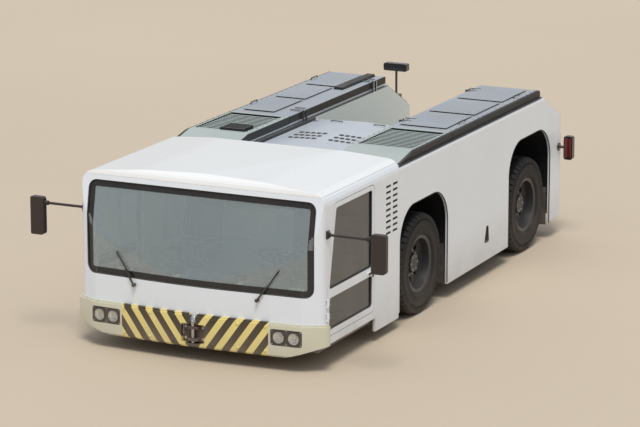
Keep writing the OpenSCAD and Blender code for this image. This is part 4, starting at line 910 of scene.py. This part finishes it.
# Doors. Welded frames with dark tinted panes in rubber, a grip at the rear edge, a lock barrel, a
# moulded trim panel inside with a pull strap, and screws in the hinges.
dress(cab_paint, "door_left", "door_right")
door_tint = glass("door_glass", (0.040, 0.070, 0.11, 1), 0.08, 0.70, 0.84, 1.3)
dress(door_tint, "door_glass_left", "door_glass_right")
glass_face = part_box("door_glass_left")[1].x


def pane_line(low_z, high_z):
    found = {}
    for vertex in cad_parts["door_glass_left"].data.vertices:
        if vertex.co.x > glass_face - 0.0005 and low_z < vertex.co.z < high_z:
            found[(round(vertex.co.y, 4), round(vertex.co.z, 4))] = vertex.co.copy()
    points = list(found.values())
    centre = sum(points, Vector()) / len(points)
    return sorted(points, key=lambda p: math.atan2(p.z - centre.z, p.y - centre.y))


seals = []
for low_z, high_z in ((0.78, 1.70), (0.40, 0.76)):
    for dx in (0.008, -0.014):
        seals.append(tube([point + Vector((dx, 0, 0)) for point in pane_line(low_z, high_z)], 0.008, True))
pair("door_seals", seals, black_rubber, "door")

door_low, door_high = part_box("door_left")
door_rear = door_high.y
grip_z = 0.7825
lock = turned([(0.016, 0), (0.016, 0.004), (0.013, 0.006), (0.006, 0.006), (0.0055, 0.0045)],
              (half_w - 0.0005, door_rear - 0.03, grip_z - 0.05), (1, 0, 0), 24)
grip = block((half_w + 0.0222, door_rear - 0.185, grip_z - 0.0145),
             (half_w + 0.0262, door_rear - 0.055, grip_z + 0.0145), 0.0035, 3)
pair("door_grip", [grip, lock], black_plastic, "door")

inner_x = half_w - 0.045
trim = block((inner_x - 0.014, door_low.y + 0.10, 0.36),
             (inner_x + 0.0005, door_rear - 0.05, 0.41), 0.006, 3)
pocket = block((inner_x - 0.016, door_low.y + 0.20, 0.756),
               (inner_x + 0.0005, door_rear - 0.16, 0.815), 0.007, 3)
pull = [(inner_x - 0.010, door_rear - 0.52, 0.79), (inner_x - 0.045, door_rear - 0.50, 0.795),
        (inner_x - 0.045, door_rear - 0.30, 0.795), (inner_x - 0.010, door_rear - 0.28, 0.79)]
pair("door_trims", [trim, pocket, tube(pull, 0.009, sides=12)], black_plastic, "door")

places = [at(half_w + 0.0135, door_low.y + 0.017 + dy, z + dz, (1, 0, 0))
          for z in (0.565, 0.705) for dy in (0.020, 0.045) for dz in (-0.022, 0.022)]
pair("hinge_screws", spread(rivet, places), zinc, "door")

# Dashboard. A moulded grey-black console across the cab with a hooded instrument pod over the column,
# two dials, a small display, rows of rocker switches, air vents, and three pedals on the toe board.
dress(black_plastic, "dashboard")
dash_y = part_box("dashboard")[0].y
seat_x = middle("steering_wheel").x


def above_dash(x, y):
    return touch("dashboard", (x, y, 1.6), (0, 0, -1)).z


pods = []
for x, width in ((seat_x, 0.46), (0.0, 0.62), (-seat_x, 0.40)):
    piece = block((x - width / 2, dash_y + 0.06, 0.72), (x + width / 2, dash_y + 0.27, 0.845))
    for vertex in piece.data.vertices:
        if vertex.co.z > 0.8:
            vertex.co.x = x + (vertex.co.x - x) * 0.88
            vertex.co.y = dash_y + 0.10 if vertex.co.y < dash_y + 0.2 else dash_y + 0.235
    pods.append(soften(piece, 0.018, 4))
finish("dash_pods", pods, black_plastic)
face = Vector((0, 0.125, 0.035)).normalized()
dials, needles = [], []
for dx in (-0.10, 0.10):
    spot = (seat_x + dx, dash_y + 0.247, 0.795)
    dials.append(turned([(0.048, 0), (0.048, 0.008), (0.044, 0.010), (0.042, 0.006), (0.010, 0.0055)],
                        spot, face))
    needles.append(moved(block((-0.0015, -0.004, 0.0068), (0.0015, 0.030, 0.0080), 0.0004, 1),
                         at(*spot, face) @ Matrix.Rotation(0.9, 4, "Z")))
finish("dash_dials", dials, zinc)


def cell_lens(name, scale, first, second, roughness):
    mat, tree, shader = new_material(name, roughness=roughness, coat_weight=0.6, coat_roughness=0.05)
    sockets = {"Vector": coordinates(tree)[0], "Scale": scale}
    cells = add_node(tree, "TexVoronoi", sockets).outputs["Distance"]
    feed(shader, Base_Color=mix_colour(cells, first, second), Normal=bump(cells, 0.4, 0.001))
    return mat


amber = cell_lens("amber_lens", 260.0, (0.85, 0.26, 0.02, 1), (0.42, 0.10, 0.01, 1), 0.15)
finish("dash_needles", needles, amber)
screen_panel = toned("display_glass", (25.0, 2.0), (0.01, 0.02, 0.025, 1), (0.03, 0.05, 0.055, 1),
                     (0.3, 0.7, 0.08, 0.16), coat_weight=0.8, coat_roughness=0.05)
display = block((-0.11, dash_y + 0.243, 0.755), (0.11, dash_y + 0.253, 0.83), 0.004)
finish("display", display, screen_panel)
keys = []
for x0, count in ((0.90, 6), (0.322, 3), (-0.412, 3), (-1.06, 6)):
    for i, row in [(i, row) for i in range(count) for row in range(3)]:
        x, y = x0 + 0.028 * i, dash_y + 0.105 + 0.036 * row
        top = above_dash(x + 0.01, y + 0.013)
        key = block((x, y, top - 0.006), (x + 0.021, y + 0.026, top + 0.010))
        for vertex in key.data.vertices:
            if vertex.co.z > top and (vertex.co.y > y + 0.013) == (i % 2 == 0):
                vertex.co.z -= 0.006
        keys.append(key)
pale_plastic = toned("pale_plastic", (14.0, 4.0), (0.48, 0.49, 0.48, 1), (0.58, 0.58, 0.56, 1),
                     (0.3, 0.7, 0.40, 0.52), specular_ior_level=0.45)
finish("dash_switches", soften(joined(keys), 0.0015, 1), pale_plastic)
vents = []
for x in (-1.12, -0.66, -0.13, 0.40, 0.86):
    top = above_dash(x, dash_y + 0.03)
    vents.append(block((x, dash_y + 0.006, top - 0.010), (x + 0.26, dash_y + 0.055, top + 0.006), 0.004))
    for y in [dash_y + 0.0115 + 0.0085 * i for i in range(5)]:
        vents.append(block((x + 0.010, y, top + 0.004), (x + 0.250, y + 0.003, top + 0.011)))
finish("dash_vents", vents, black_plastic)
pedals = []
for dx, width in ((-0.12, 0.075), (0.02, 0.085), (0.13, 0.06)):
    x = seat_x + dx
    pad = block((x - width / 2, dash_y + 0.275, 0.485), (x + width / 2, dash_y + 0.295, 0.60))
    for vertex in pad.data.vertices:
        if vertex.co.z < 0.5:
            vertex.co.y += 0.05
    arm = [(x, dash_y + 0.13, 0.46), (x, dash_y + 0.21, 0.50), (x, dash_y + 0.283, 0.55)]
    pedals += [soften(pad, 0.005), tube(arm, 0.010, sides=12)]
finish("pedals", pedals, black_paint)

# Steering wheel. A black soft-grip ring on three spokes with a domed pad, a spinner knob on the rim,
# and a stalk on each side of the column.
dress(black_plastic, "steering_wheel")
hub = Vector((seat_x, nose_y + 0.72, 1.0))
lean = Matrix.Rotation(math.radians(-35), 3, "X")
axis = lean @ Vector((0, 0, 1))
pad = turned([(0.052, 0), (0.052, 0.010), (0.046, 0.020), (0.030, 0.027), (0.010, 0.030)],
             hub + axis * 0.012, axis)
knob_foot = hub + lean @ Vector((0.21 * math.cos(2.3), 0.21 * math.sin(2.3), 0.012))
knob = turned([(0.010, 0), (0.010, 0.014), (0.022, 0.020), (0.024, 0.034), (0.018, 0.044), (0.006, 0.048)],
              knob_foot, axis, 24)
finish("wheel_pad", [pad, knob], black_plastic)
stalks = []
for side in (-1, 1):
    start = hub - axis * 0.075
    end = start + Vector((side * 0.17, 0.02, 0.03))
    stalks.append(tube([start, start.lerp(end, 0.4), end], 0.006, sides=12))
    stalks.append(tube([end - (end - start) * 0.22, end], 0.010, sides=12))
finish("stalks", stalks, black_plastic)

# Seats. Each is a steel pan on a rubber-covered column, with a sewn fabric cushion and back over foam,
# piped along its edges, black plastic side covers, and a webbing belt with its buckle.
seat_y = nose_y + 1.25
cushion_top = 0.88

seat_cloth, tree, shader = new_material("seat_cloth", sheen_weight=0.15, sheen_roughness=0.5)
place, x, y, z = coordinates(tree)
weave = product(calculate("SINE", product(calculate("ADD", x, y), 2600.0)),
                calculate("SINE", product(calculate("SUBTRACT", x, z), 2600.0)))
faded = ramp(noise(place, 9.0, 5.0), 0.35, 0.7)
shade = mix_colour(faded, (0.030, 0.033, 0.040, 1), (0.060, 0.064, 0.074, 1))
feed(shader, Base_Color=mix_colour(ramp(weave, -1.0, 1.0, 0.0, 0.25), shade, (0.11, 0.115, 0.13, 1)),
     Roughness=ramp(weave, -1.0, 1.0, 0.82, 0.92), Normal=bump(weave, 0.4, 0.0008))


def swollen(piece, pressure, cap, held):
    only(piece)
    fine = piece.modifiers.new("fine", "REMESH")
    fine.mode = "VOXEL"
    fine.voxel_size = 0.006
    bpy.ops.object.modifier_apply(modifier="fine")
    start = [vertex.co.copy() for vertex in piece.data.vertices]
    group = piece.vertex_groups.new(name="held")
    group.add([v.index for v in piece.data.vertices if held(v.co)], 1.0, "REPLACE")
    cloth = piece.modifiers.new("cloth", "CLOTH")
    cloth.settings.use_pressure = True
    cloth.settings.uniform_pressure_force = pressure
    cloth.settings.vertex_group_mass = "held"
    cloth.settings.effector_weights.gravity = 0
    cloth.point_cache.frame_start = 1
    cloth.point_cache.frame_end = 20
    for step in range(1, 21):
        bpy.context.scene.frame_set(step)
    bpy.ops.object.modifier_apply(modifier="cloth")
    bpy.context.scene.frame_set(1)
    piece.vertex_groups.clear()
    for vertex, before in zip(piece.data.vertices, start):
        move = vertex.co - before
        if move.length > cap:
            vertex.co = before + move.normalized() * cap
    smooth = piece.modifiers.new("smooth", "SUBSURF")
    smooth.levels = 1
    smooth.render_levels = 1
    bpy.ops.object.modifier_apply(modifier="smooth")
    bpy.ops.object.shade_smooth()
    return piece


def pillow(low, high, round_off, channels, along):
    piece = block(low, high)
    with edit_mode(piece):
        bpy.ops.mesh.subdivide(number_cuts=9)
    soften(piece, round_off, 4)
    low, high = Vector(low), Vector(high)
    centre, half = (low + high) / 2, (high - low) / 2
    across = 3 - along
    for vertex in piece.data.vertices:
        u = (vertex.co.x - centre.x) / half.x
        v = (vertex.co[along] - centre[along]) / half[along]
        side = 1 if vertex.co[across] > centre[across] else -1
        if side == (1 if along == 1 else -1):
            groove = sum(math.exp(-((vertex.co.x - centre.x - c) / 0.010) ** 2) for c in channels)
            vertex.co[across] += side * (0.014 * (1 - u * u) * (1 - v * v) - 0.010 * groove * (1 - v ** 8))
        vertex.co.x -= 0.008 * (1 - v * v) * u
    return piece


cushion = pillow((seat_x - 0.228, seat_y - 0.228, 0.772), (seat_x + 0.228, seat_y + 0.228, 0.862),
                 0.024, (-0.13, 0.13), 1)
cushion = swollen(cushion, 3.0, 0.014, lambda p: p.z < 0.785)
back = pillow((seat_x - 0.218, -0.040, 0.035), (seat_x + 0.218, 0.040, 0.545), 0.026, (-0.125, 0.125), 2)
back = swollen(back, 3.0, 0.012, lambda p: p.y > 0.030)
hip = Matrix.Translation((0, seat_y + 0.215, cushion_top - 0.02))
tilt = hip @ Matrix.Rotation(math.radians(-10), 4, "X")
back = moved(back, tilt)

z = cushion_top - 0.030
seat_edge = [(seat_x - 0.224, seat_y - 0.224, z), (seat_x + 0.224, seat_y - 0.224, z),
             (seat_x + 0.224, seat_y + 0.224, z), (seat_x - 0.224, seat_y + 0.224, z)]
back_edge = [(seat_x - 0.214, -0.030, 0.04), (seat_x + 0.214, -0.030, 0.04),
             (seat_x + 0.205, -0.030, 0.545), (seat_x - 0.205, -0.030, 0.545)]
piping = [tube(loop(seat_edge, 0.05), 0.0045, True),
          tube([tilt @ p for p in loop(back_edge, 0.07)], 0.0045, True)]


def seat_block(low, high, width, segments):
    base = Vector((seat_x, seat_y, 0))
    return block(base + Vector(low), base + Vector(high), width, segments)


bellows = [(0.115 - 0.018 * (i % 2), 0.03 + 0.02 * i) for i in range(1, 15)]
seat_frame = [seat_block((-0.20, -0.21, 0.735), (0.20, 0.21, 0.776), 0.010, 3),
              moved(block((seat_x - 0.205, 0.036, 0.03), (seat_x + 0.205, 0.054, 0.53), 0.009, 3), tilt),
              turned([(0.105, 0), (0.115, 0.03)] + bellows + [(0.105, 0.332)], (seat_x, seat_y, 0.403)),
              seat_block((-0.20, -0.20, 0.4005), (0.20, 0.20, 0.438), 0.008, 2)]
for x in (-0.17, 0.17):
    seat_frame.append(seat_block((x - 0.014, -0.19, 0.715), (x + 0.014, 0.19, 0.737), 0.003, 1))
for x in (-0.222, 0.222):
    cover = block((seat_x + x - 0.013, seat_y - 0.15, 0.745), (seat_x + x + 0.013, seat_y + 0.235, 0.815))
    for vertex in cover.data.vertices:
        if vertex.co.z > 0.8 and vertex.co.y < seat_y:
            vertex.co.z -= 0.03
    seat_frame.append(soften(cover, 0.009, 3))
belt_line = [Vector((seat_x + dx, seat_y + dy, z)) for dx, dy, z in (
    (-0.20, 0.20, 0.80), (-0.17, 0.10, 0.893), (-0.06, 0.06, 0.906),
    (0.06, 0.06, 0.906), (0.17, 0.10, 0.893), (0.20, 0.20, 0.80))]
belt = []
for a, b in zip(belt_line, belt_line[1:]):
    strap = block((-0.003, -0.023, 0), (0.003, 0.023, (b - a).length + 0.003))
    belt.append(moved(strap, Matrix.Translation(a) @ (b - a).to_track_quat("Z", "Y").to_matrix().to_4x4()))
belt = soften(joined(belt), 0.0012, 1)
buckle = seat_block((0.03, 0.035, 0.9025), (0.09, 0.085, 0.915), 0.005, 2)
for name, parts, material, slot in (("seat_cushion", cushion, seat_cloth, "seat_cloth"),
                                    ("seat_back", back, seat_cloth, "seat_cloth"),
                                    ("seat_piping", piping, black_rubber, "trim_black"),
                                    ("seat_frame", seat_frame, black_plastic, "trim_black"),
                                    ("seat_belt", belt, seat_cloth, "seat_cloth"),
                                    ("seat_buckle", buckle, black_plastic, "trim_black")):
    for made, node in zip(pair(name, parts, material), ("seat_left", "seat_right")):
        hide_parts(node)

# Mirrors. Moulded housings on painted steel arms, each with a silvered glass set in its rear face, a
# rubber sleeve where the arm meets the housing and two bolts in the bracket.
dress(painted("mirror_paint", (0.030, 0.021, 0.020, 1), 0.42, 0.1, 1.0, 0.3, 0.3, 0.06), "mirrors")
silver = toned("mirror_glass", (8.0, 4.0), (0.80, 0.82, 0.82, 1), (0.70, 0.72, 0.72, 1),
               (0.4, 0.7, 0.03, 0.12), metallic=1.0)
x, y, z = half_w + 0.565, nose_y + 0.29, 1.41
pane = block((x - 0.0725, y + 0.0275, 1.080), (x + 0.0725, y + 0.0325, 1.460), 0.002)
finish("mirror_pane_right", mirrored(pane), silver)
finish("mirror_pane", pane, silver)
sleeve = turned([(0.020, 0), (0.024, 0.006), (0.024, 0.045), (0.018, 0.052)],
                (x - 0.1325, y, z), (1, 0, 0), 24)
base = turned([(0.026, 0), (0.026, 0.012), (0.018, 0.020)], (half_w + 0.0195, y, z), (1, 0, 0), 24)
pair("mirror_sleeves", [sleeve, base], black_rubber)
places = [at(half_w + 0.0198, y, z + dz, (1, 0, 0)) for dz in (-0.031, 0.031)]
pair("mirror_bolts", spread(hex_bolt(0.009), places), zinc)

# Wipers. Pressed steel arms on splined spindles, each with a rubber blade that follows the glass.
dress(black_plastic, "wipers")
wiper_way = Vector((0.565, 0.174, 0.807))
hub = Vector((0.7, face_y("cab_frame", 0.7, 0.71) - 0.03, 0.71))
tip = hub + wiper_way * 0.185
blade_line = []
for i in range(9):
    p = tip + wiper_way * (0.30 * (i / 8 - 0.30))
    blade_line.append(Vector((p.x, face_y("windshield", p.x, max(p.z, 0.79)), p.z)))
parts = [tube([p - Vector((0, 0.016, 0)) for p in blade_line], 0.006),
         tube([p - Vector((0, 0.0065, 0)) for p in blade_line], 0.0042),
         tube([tip - wiper_way * 0.01, blade_line[3] - Vector((0, 0.017, 0))], 0.0065),
         turned([(0.019, 0), (0.019, 0.006), (0.013, 0.013), (0.004, 0.015)],
                hub - Vector((0, 0.002, 0)), (0, -1, 0), 24)]
pair("wiper_blades", parts, black_rubber)

# Bumper. A folded steel band in cream paint with slanted warning stripes that point down to the middle,
# fixed through its face by cap bolts.
stripe_end = 0.835


def stripe_region(tree):
    return ramp(calculate("ABSOLUTE", coordinates(tree)[1]), stripe_end + 0.001, stripe_end - 0.001)


def stripes(tree, slope, shift, pitch):
    _, x, _, z = coordinates(tree)
    slant = calculate("ADD", calculate("ABSOLUTE", x), product(z, slope))
    wave = calculate("FRACT", calculate("DIVIDE", calculate("ADD", slant, shift), pitch))
    return calculate("ABSOLUTE", calculate("SUBTRACT", wave, 0.5))


def warning_stripes(tree):
    dark = ramp(stripes(tree, -0.72, 3.02, 0.172), 0.235, 0.245)
    return mix_colour(dark, (0.84, 0.70, 0.26, 1), (0.050, 0.036, 0.020, 1))


stripe_paint = painted("stripe_paint", (0.66, 0.645, 0.52, 1), 0.38, 0.35, 0.55, 0.55, 0.7, 0.04, 0.006,
                       second=warning_stripes, second_mask=stripe_region)
dress(stripe_paint, "bumper")
heads = [at(x, face_y("bumper", x, z) + 0.0006, z, (-x * 0.06, -1, 0))
         for x in (-0.80, -0.50, -0.22, 0.22, 0.50, 0.80) for z in (0.205, 0.455)]
cap_screw = turned([(0.016, 0), (0.016, 0.003), (0.012, 0.008), (0.006, 0.0095)], sides=20)
finish("bumper_bolts", spread(cap_screw, heads), stripe_paint)

# Headlamps. Two round lamps a side in a black housing: a plated bowl and bulb under a fluted domed glass.
dress(painted("lamp_black", (0.020, 0.020, 0.022, 1), 0.4, 0.2, 0.9, 0.5, 0.3, 0.08), "headlamps")
chrome = toned("chrome", (120.0, 4.0), (0.78, 0.79, 0.80, 1), (0.66, 0.67, 0.68, 1),
               (0.4, 0.8, 0.06, 0.22), metallic=1.0)
lamp_glass, tree, shader = new_material("lamp_glass", transmission_weight=1.0, ior=1.45, alpha=0.6)
place, x, _, _ = coordinates(tree)
flutes = calculate("SINE", product(x, 900.0))
feed(shader, Base_Color=mix_colour(ramp(flutes, -1.0, 1.0), (0.86, 0.90, 0.92, 1), (0.95, 0.97, 0.97, 1)),
     Roughness=ramp(noise(place, 20.0), 0.3, 0.7, 0.03, 0.10), Normal=bump(flutes, 0.5, 0.001))
nose_slope = 0.075 / 1.185
lamp_turn = (Matrix.Translation((1.025, nose_y + nose_slope * 1.025, 0.355))
             @ Matrix.Rotation(math.atan(nose_slope), 4, "Z"))
bowls, lenses = [], []
for x in (-0.082, 0.082):
    bowls.append(moved(turned([(0.0585, 0), (0.0585, 0.0082), (0.0555, 0.0082), (0.036, 0.0035),
                               (0.015, 0.0012), (0.013, 0.0052), (0.008, 0.0064)],
                              (x, 0.0088, 0), (0, -1, 0), 40), lamp_turn))
    lenses.append(moved(turned([(0.0578, 0), (0.0578, 0.0016), (0.048, 0.0040), (0.030, 0.0054),
                                (0.010, 0.0060)], (x, 0.0002, 0), (0, -1, 0), 40), lamp_turn))
places = [lamp_turn @ at(x, 0.0082, z, (0, -1, 0)) for x in (-0.155, 0.0, 0.155) for z in (-0.070, 0.070)]
small_screw = turned([(0.006, 0), (0.006, 0.002), (0.004, 0.0035), (0.0015, 0.0035)], sides=12)
screws = spread(small_screw, places)
pair("lamp_bowls", bowls, chrome)
pair("lamp_lenses", lenses, lamp_glass)
pair("lamp_screws", screws, zinc)

# Tow coupling. A welded jaw in dark red-black paint, with a steel pin that drops through both plates
# and a ring on top to pull it by.
dress(painted("coupling_paint", (0.040, 0.014, 0.013, 1), 0.5, 0.1, 1.0, 0.6, 0.9, 0.1), "tow_coupling")
pin_y = nose_y + 0.027
pin = turned([(0.012, 0), (0.0188, 0.010), (0.0188, 0.205), (0.0235, 0.207), (0.0235, 0.219),
              (0.012, 0.224)], (0, pin_y, 0.196))
ring = [(0.026 * math.cos(math.radians(a)), pin_y, 0.442 + 0.026 * math.sin(math.radians(a)))
        for a in range(0, 360, 15)]
finish("tow_pin", [pin, tube(ring, 0.0045, True, 12)], steel)
places = [at(x, nose_y + 0.0602, z, (0, -1, 0)) for x in (-0.10, 0.10) for z in (0.235, 0.355)]
finish("coupling_bolts", spread(hex_bolt(0.017), places), zinc)

# Engine. A cast block with a deep sump, a valve cover, side ribs, a belt drive at its front end, a
# filter canister and an exhaust manifold, seen from below and when the hood is up.
cast_iron = painted("cast_iron", (0.115, 0.120, 0.118, 1), 0.55, 0.05, 1.2, 0.7, 0.3, 0.12, 0.003,
                    (0.6, 500.0))
dress(cast_iron, "engine")
low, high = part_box("engine")
rib_run, port_run = (high.y - low.y - 0.32) / 5, (high.y - low.y - 0.5) / 3
parts = [block((-0.13, low.y + 0.12, high.z - 0.001), (0.13, high.y - 0.12, high.z + 0.085), 0.030, 4),
         rod((high.x + 0.078, low.y + 0.22, high.z - 0.18), (high.x + 0.078, high.y - 0.18, high.z - 0.18),
             0.036, 20)]
for y in [low.y + 0.16 + i * rib_run for i in range(6)]:
    for x in (-high.x - 0.022, high.x):
        parts.append(block((x, y - 0.015, low.z + 0.15), (x + 0.022, y + 0.015, high.z - 0.08), 0.006))
for y in [low.y + 0.25 + i * port_run for i in range(4)]:
    line = [(high.x - 0.01, y, high.z - 0.15), (high.x + 0.05, y, high.z - 0.13),
            (high.x + 0.075, y + 0.04, high.z - 0.17)]
    parts.append(tube(line, 0.024, sides=12))
finish("engine_castings", parts, cast_iron)
# Columns: x, z and radius of a pulley.
pulleys = ((0.0, low.z + 0.30, 0.105), (-0.17, high.z - 0.12, 0.055), (0.16, high.z - 0.20, 0.060))
drive = []
for x, z, r in pulleys:
    drive.append(turned([(r, 0), (r, 0.006), (r - 0.014, 0.016), (r, 0.026), (r, 0.032), (r * 0.6, 0.034),
                         (r * 0.55, 0.026), (0.02, 0.026)], (x, low.y + 0.001, z), (0, -1, 0)))
drive.append(turned([(0.048, 0), (0.048, 0.16), (0.042, 0.178), (0.020, 0.184)],
                    (-high.x - 0.055, low.y + 0.35, low.z + 0.42), (0, 0, -1), 28))
finish("engine_drive", drive, black_paint)
belt = []
for (x0, z0, r0), (x1, z1, r1) in zip(pulleys, pulleys[1:] + pulleys[:1]):
    way = Vector((x1 - x0, 0, z1 - z0)).normalized()
    out = Vector((-way.z, 0, way.x))
    belt += [Vector((x0, low.y - 0.015, z0)) + out * (r0 - 0.013),
             Vector((x1, low.y - 0.015, z1)) + out * (r1 - 0.013)]
finish("drive_belt", tube(belt, 0.006, True), black_rubber)

# Cradle. A welded pan and wheel stop in worn grey paint, with rubber pads across the stop, checker
# studs on the floor and grease caps on its pins. Striped gates close its rear end.
cradle_paint = painted("cradle_paint", (0.17, 0.18, 0.19, 1), 0.5, 0.1, 0.9, 0.8, 0.9, 0.10)
dress(cradle_paint, "cradle")
gate_paint = painted("gate_paint", (0.78, 0.58, 0.10, 1), 0.45, 0.2, 0.9, 0.7, 1.0, 0.06,
                     second=(0.03, 0.03, 0.03, 1),
                     second_mask=lambda tree: ramp(stripes(tree, 1.0, 0.0, 0.12), 0.24, 0.25))
dress(gate_paint, "gate_left", "gate_right")
studs = []
floor_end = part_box("cradle")[1].y
for row, column in [(row, column) for row in range(13) for column in range(11)]:
    x, y = -0.40 + 0.08 * column, floor_end - 0.98 + 0.86 * row / 13
    top = touch("cradle", (x, y, 0.60), (0, 0, -1)).z
    studs.append(slanted(x, y, top - 0.0003, row + column))
studs = spread(tread_stud(0.022, 0.005, 0.004), studs)
finish("cradle_studs", studs, cradle_paint, "cradle")
bend_y, bend_z, bend_r = 1.86, 0.57, 0.395
upright = Matrix.Translation((0, -bend_r, 0)) @ Matrix.Rotation(math.radians(-90), 4, "X")
pads = []
for a in (-4, 12, 28, 44):
    turn = Matrix.Translation((0, bend_y, bend_z)) @ Matrix.Rotation(math.radians(a), 4, "X")
    pads.append(moved(block((-0.43, -0.030, -0.010), (0.43, 0.030, 0.012), 0.005), turn @ upright))
finish("stop_pads", pads, black_rubber, "cradle")
grease_caps = []
for side in (-1, 1):
    grease_caps.append(turned([(0.033, 0), (0.033, 0.005), (0.028, 0.009), (0.008, 0.011), (0.006, 0.018)],
                              (side * 0.435, 2.97, 0.5445), sides=28))
    grease_caps.append(turned([(0.040, 0), (0.040, 0.006), (0.034, 0.010), (0.009, 0.012), (0.006, 0.019)],
                              (side * 0.5045, 0.86, 0.38), (side, 0, 0), 28))
finish("grease_caps", grease_caps, steel, "cradle")

# Lift cylinder. A painted barrel with a screwed gland, two steel pipes clamped along it, and a
# plated rod.
dress(black_paint, "lift_cylinder")
dress(steel, "lift_rod")
pin_top = Vector((0, 0.81, 1.23))
down = (Vector((0, 1.32, 0.70)) - pin_top).normalized()
above = Vector((0, -down.z, down.y))
rings = [turned([(0.057, 0), (0.061, 0.004), (0.061, 0.030), (0.050, 0.036), (0.0345, 0.037)],
                pin_top + down * 0.452, down, 36)]
for start in (0.14, 0.37):
    rings.append(turned([(0.056, 0), (0.060, 0.002), (0.060, 0.020), (0.056, 0.022)],
                        pin_top + down * start, down, 36))
finish("lift_gland", rings, zinc, "lift_cylinder")
pipes = []
for x, first, last in ((-0.022, 0.085, 0.150), (0.022, 0.085, 0.435)):
    out = Vector((x, 0, 0))
    low, high = above * 0.045 + out, above * 0.064 + out
    line = [pin_top + down * along + lift for along, lift in (
        (first, low), (first + 0.004, high * 0.94), (first + 0.016, high),
        (last - 0.016, high), (last - 0.004, high * 0.94), (last, low))]
    pipes.append(tube(line, 0.006, sides=12))
finish("lift_pipes", pipes, zinc, "lift_cylinder")

# Rear lamps. Stacked tail lamps with red, amber and clear cells, upright marker lamps on rubber stalks
# and a work lamp on a post, all in black housings.
lamp_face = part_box("rear_lamps")[1].y
tail_x, tail_low, tail_high, cell_height = 1.265, 0.91, 1.17, 0.0867


def on_tail_lamp(tree):
    _, x, y, z = coordinates(tree)
    beside = calculate("ABSOLUTE", calculate("SUBTRACT", calculate("ABSOLUTE", x), tail_x))
    cell = calculate("FRACT", calculate("DIVIDE", calculate("SUBTRACT", z, tail_low), cell_height))
    cell = calculate("ABSOLUTE", calculate("SUBTRACT", cell, 0.5))
    return product(calculate("LESS_THAN", beside, 0.050), calculate("LESS_THAN", cell, 0.45),
                   calculate("LESS_THAN", z, tail_high), calculate("GREATER_THAN", z, tail_low),
                   calculate("GREATER_THAN", y, lamp_face - 0.004))


def tail_cells(tree):
    z = coordinates(tree)[3]
    low = mix_colour(calculate("GREATER_THAN", z, 0.9967), (0.55, 0.56, 0.56, 1), (0.62, 0.20, 0.02, 1))
    return mix_colour(calculate("GREATER_THAN", z, 1.0833), low, (0.42, 0.012, 0.010, 1))


dress(painted("tail_lamp", (0.022, 0.020, 0.021, 1), 0.25, 0.5, 0.9, 0.35, 0.2, 0.06,
              second=tail_cells, second_mask=on_tail_lamp), "rear_lamps")
red_lens = cell_lens("red_lens", 200.0, (0.16, 0.012, 0.010, 1), (0.07, 0.006, 0.006, 1), 0.18)
marker_x = half_w + 0.130
markers = [block((marker_x - 0.040, y, 0.945), (marker_x + 0.040, y + 0.004, 1.175), 0.0018)
           for y in (3.1708, 3.2452)]
pair("marker_front", markers[0], red_lens)
pair("marker_rear", markers[1], red_lens)
x, y = -0.68, 3.19
work_lens = block((x - 0.135, y + 0.0002, 1.818), (x + 0.135, y + 0.004, 1.882), 0.0018)
finish("work_lens", work_lens, lamp_glass)
cells = [block((left, y - 0.0005, 1.824), (left + 0.057, y + 0.0009, 1.876), 0.0004, 1)
         for left in (x - 0.125, x - 0.060, x + 0.005, x + 0.070)]
finish("work_cells", cells, chrome)
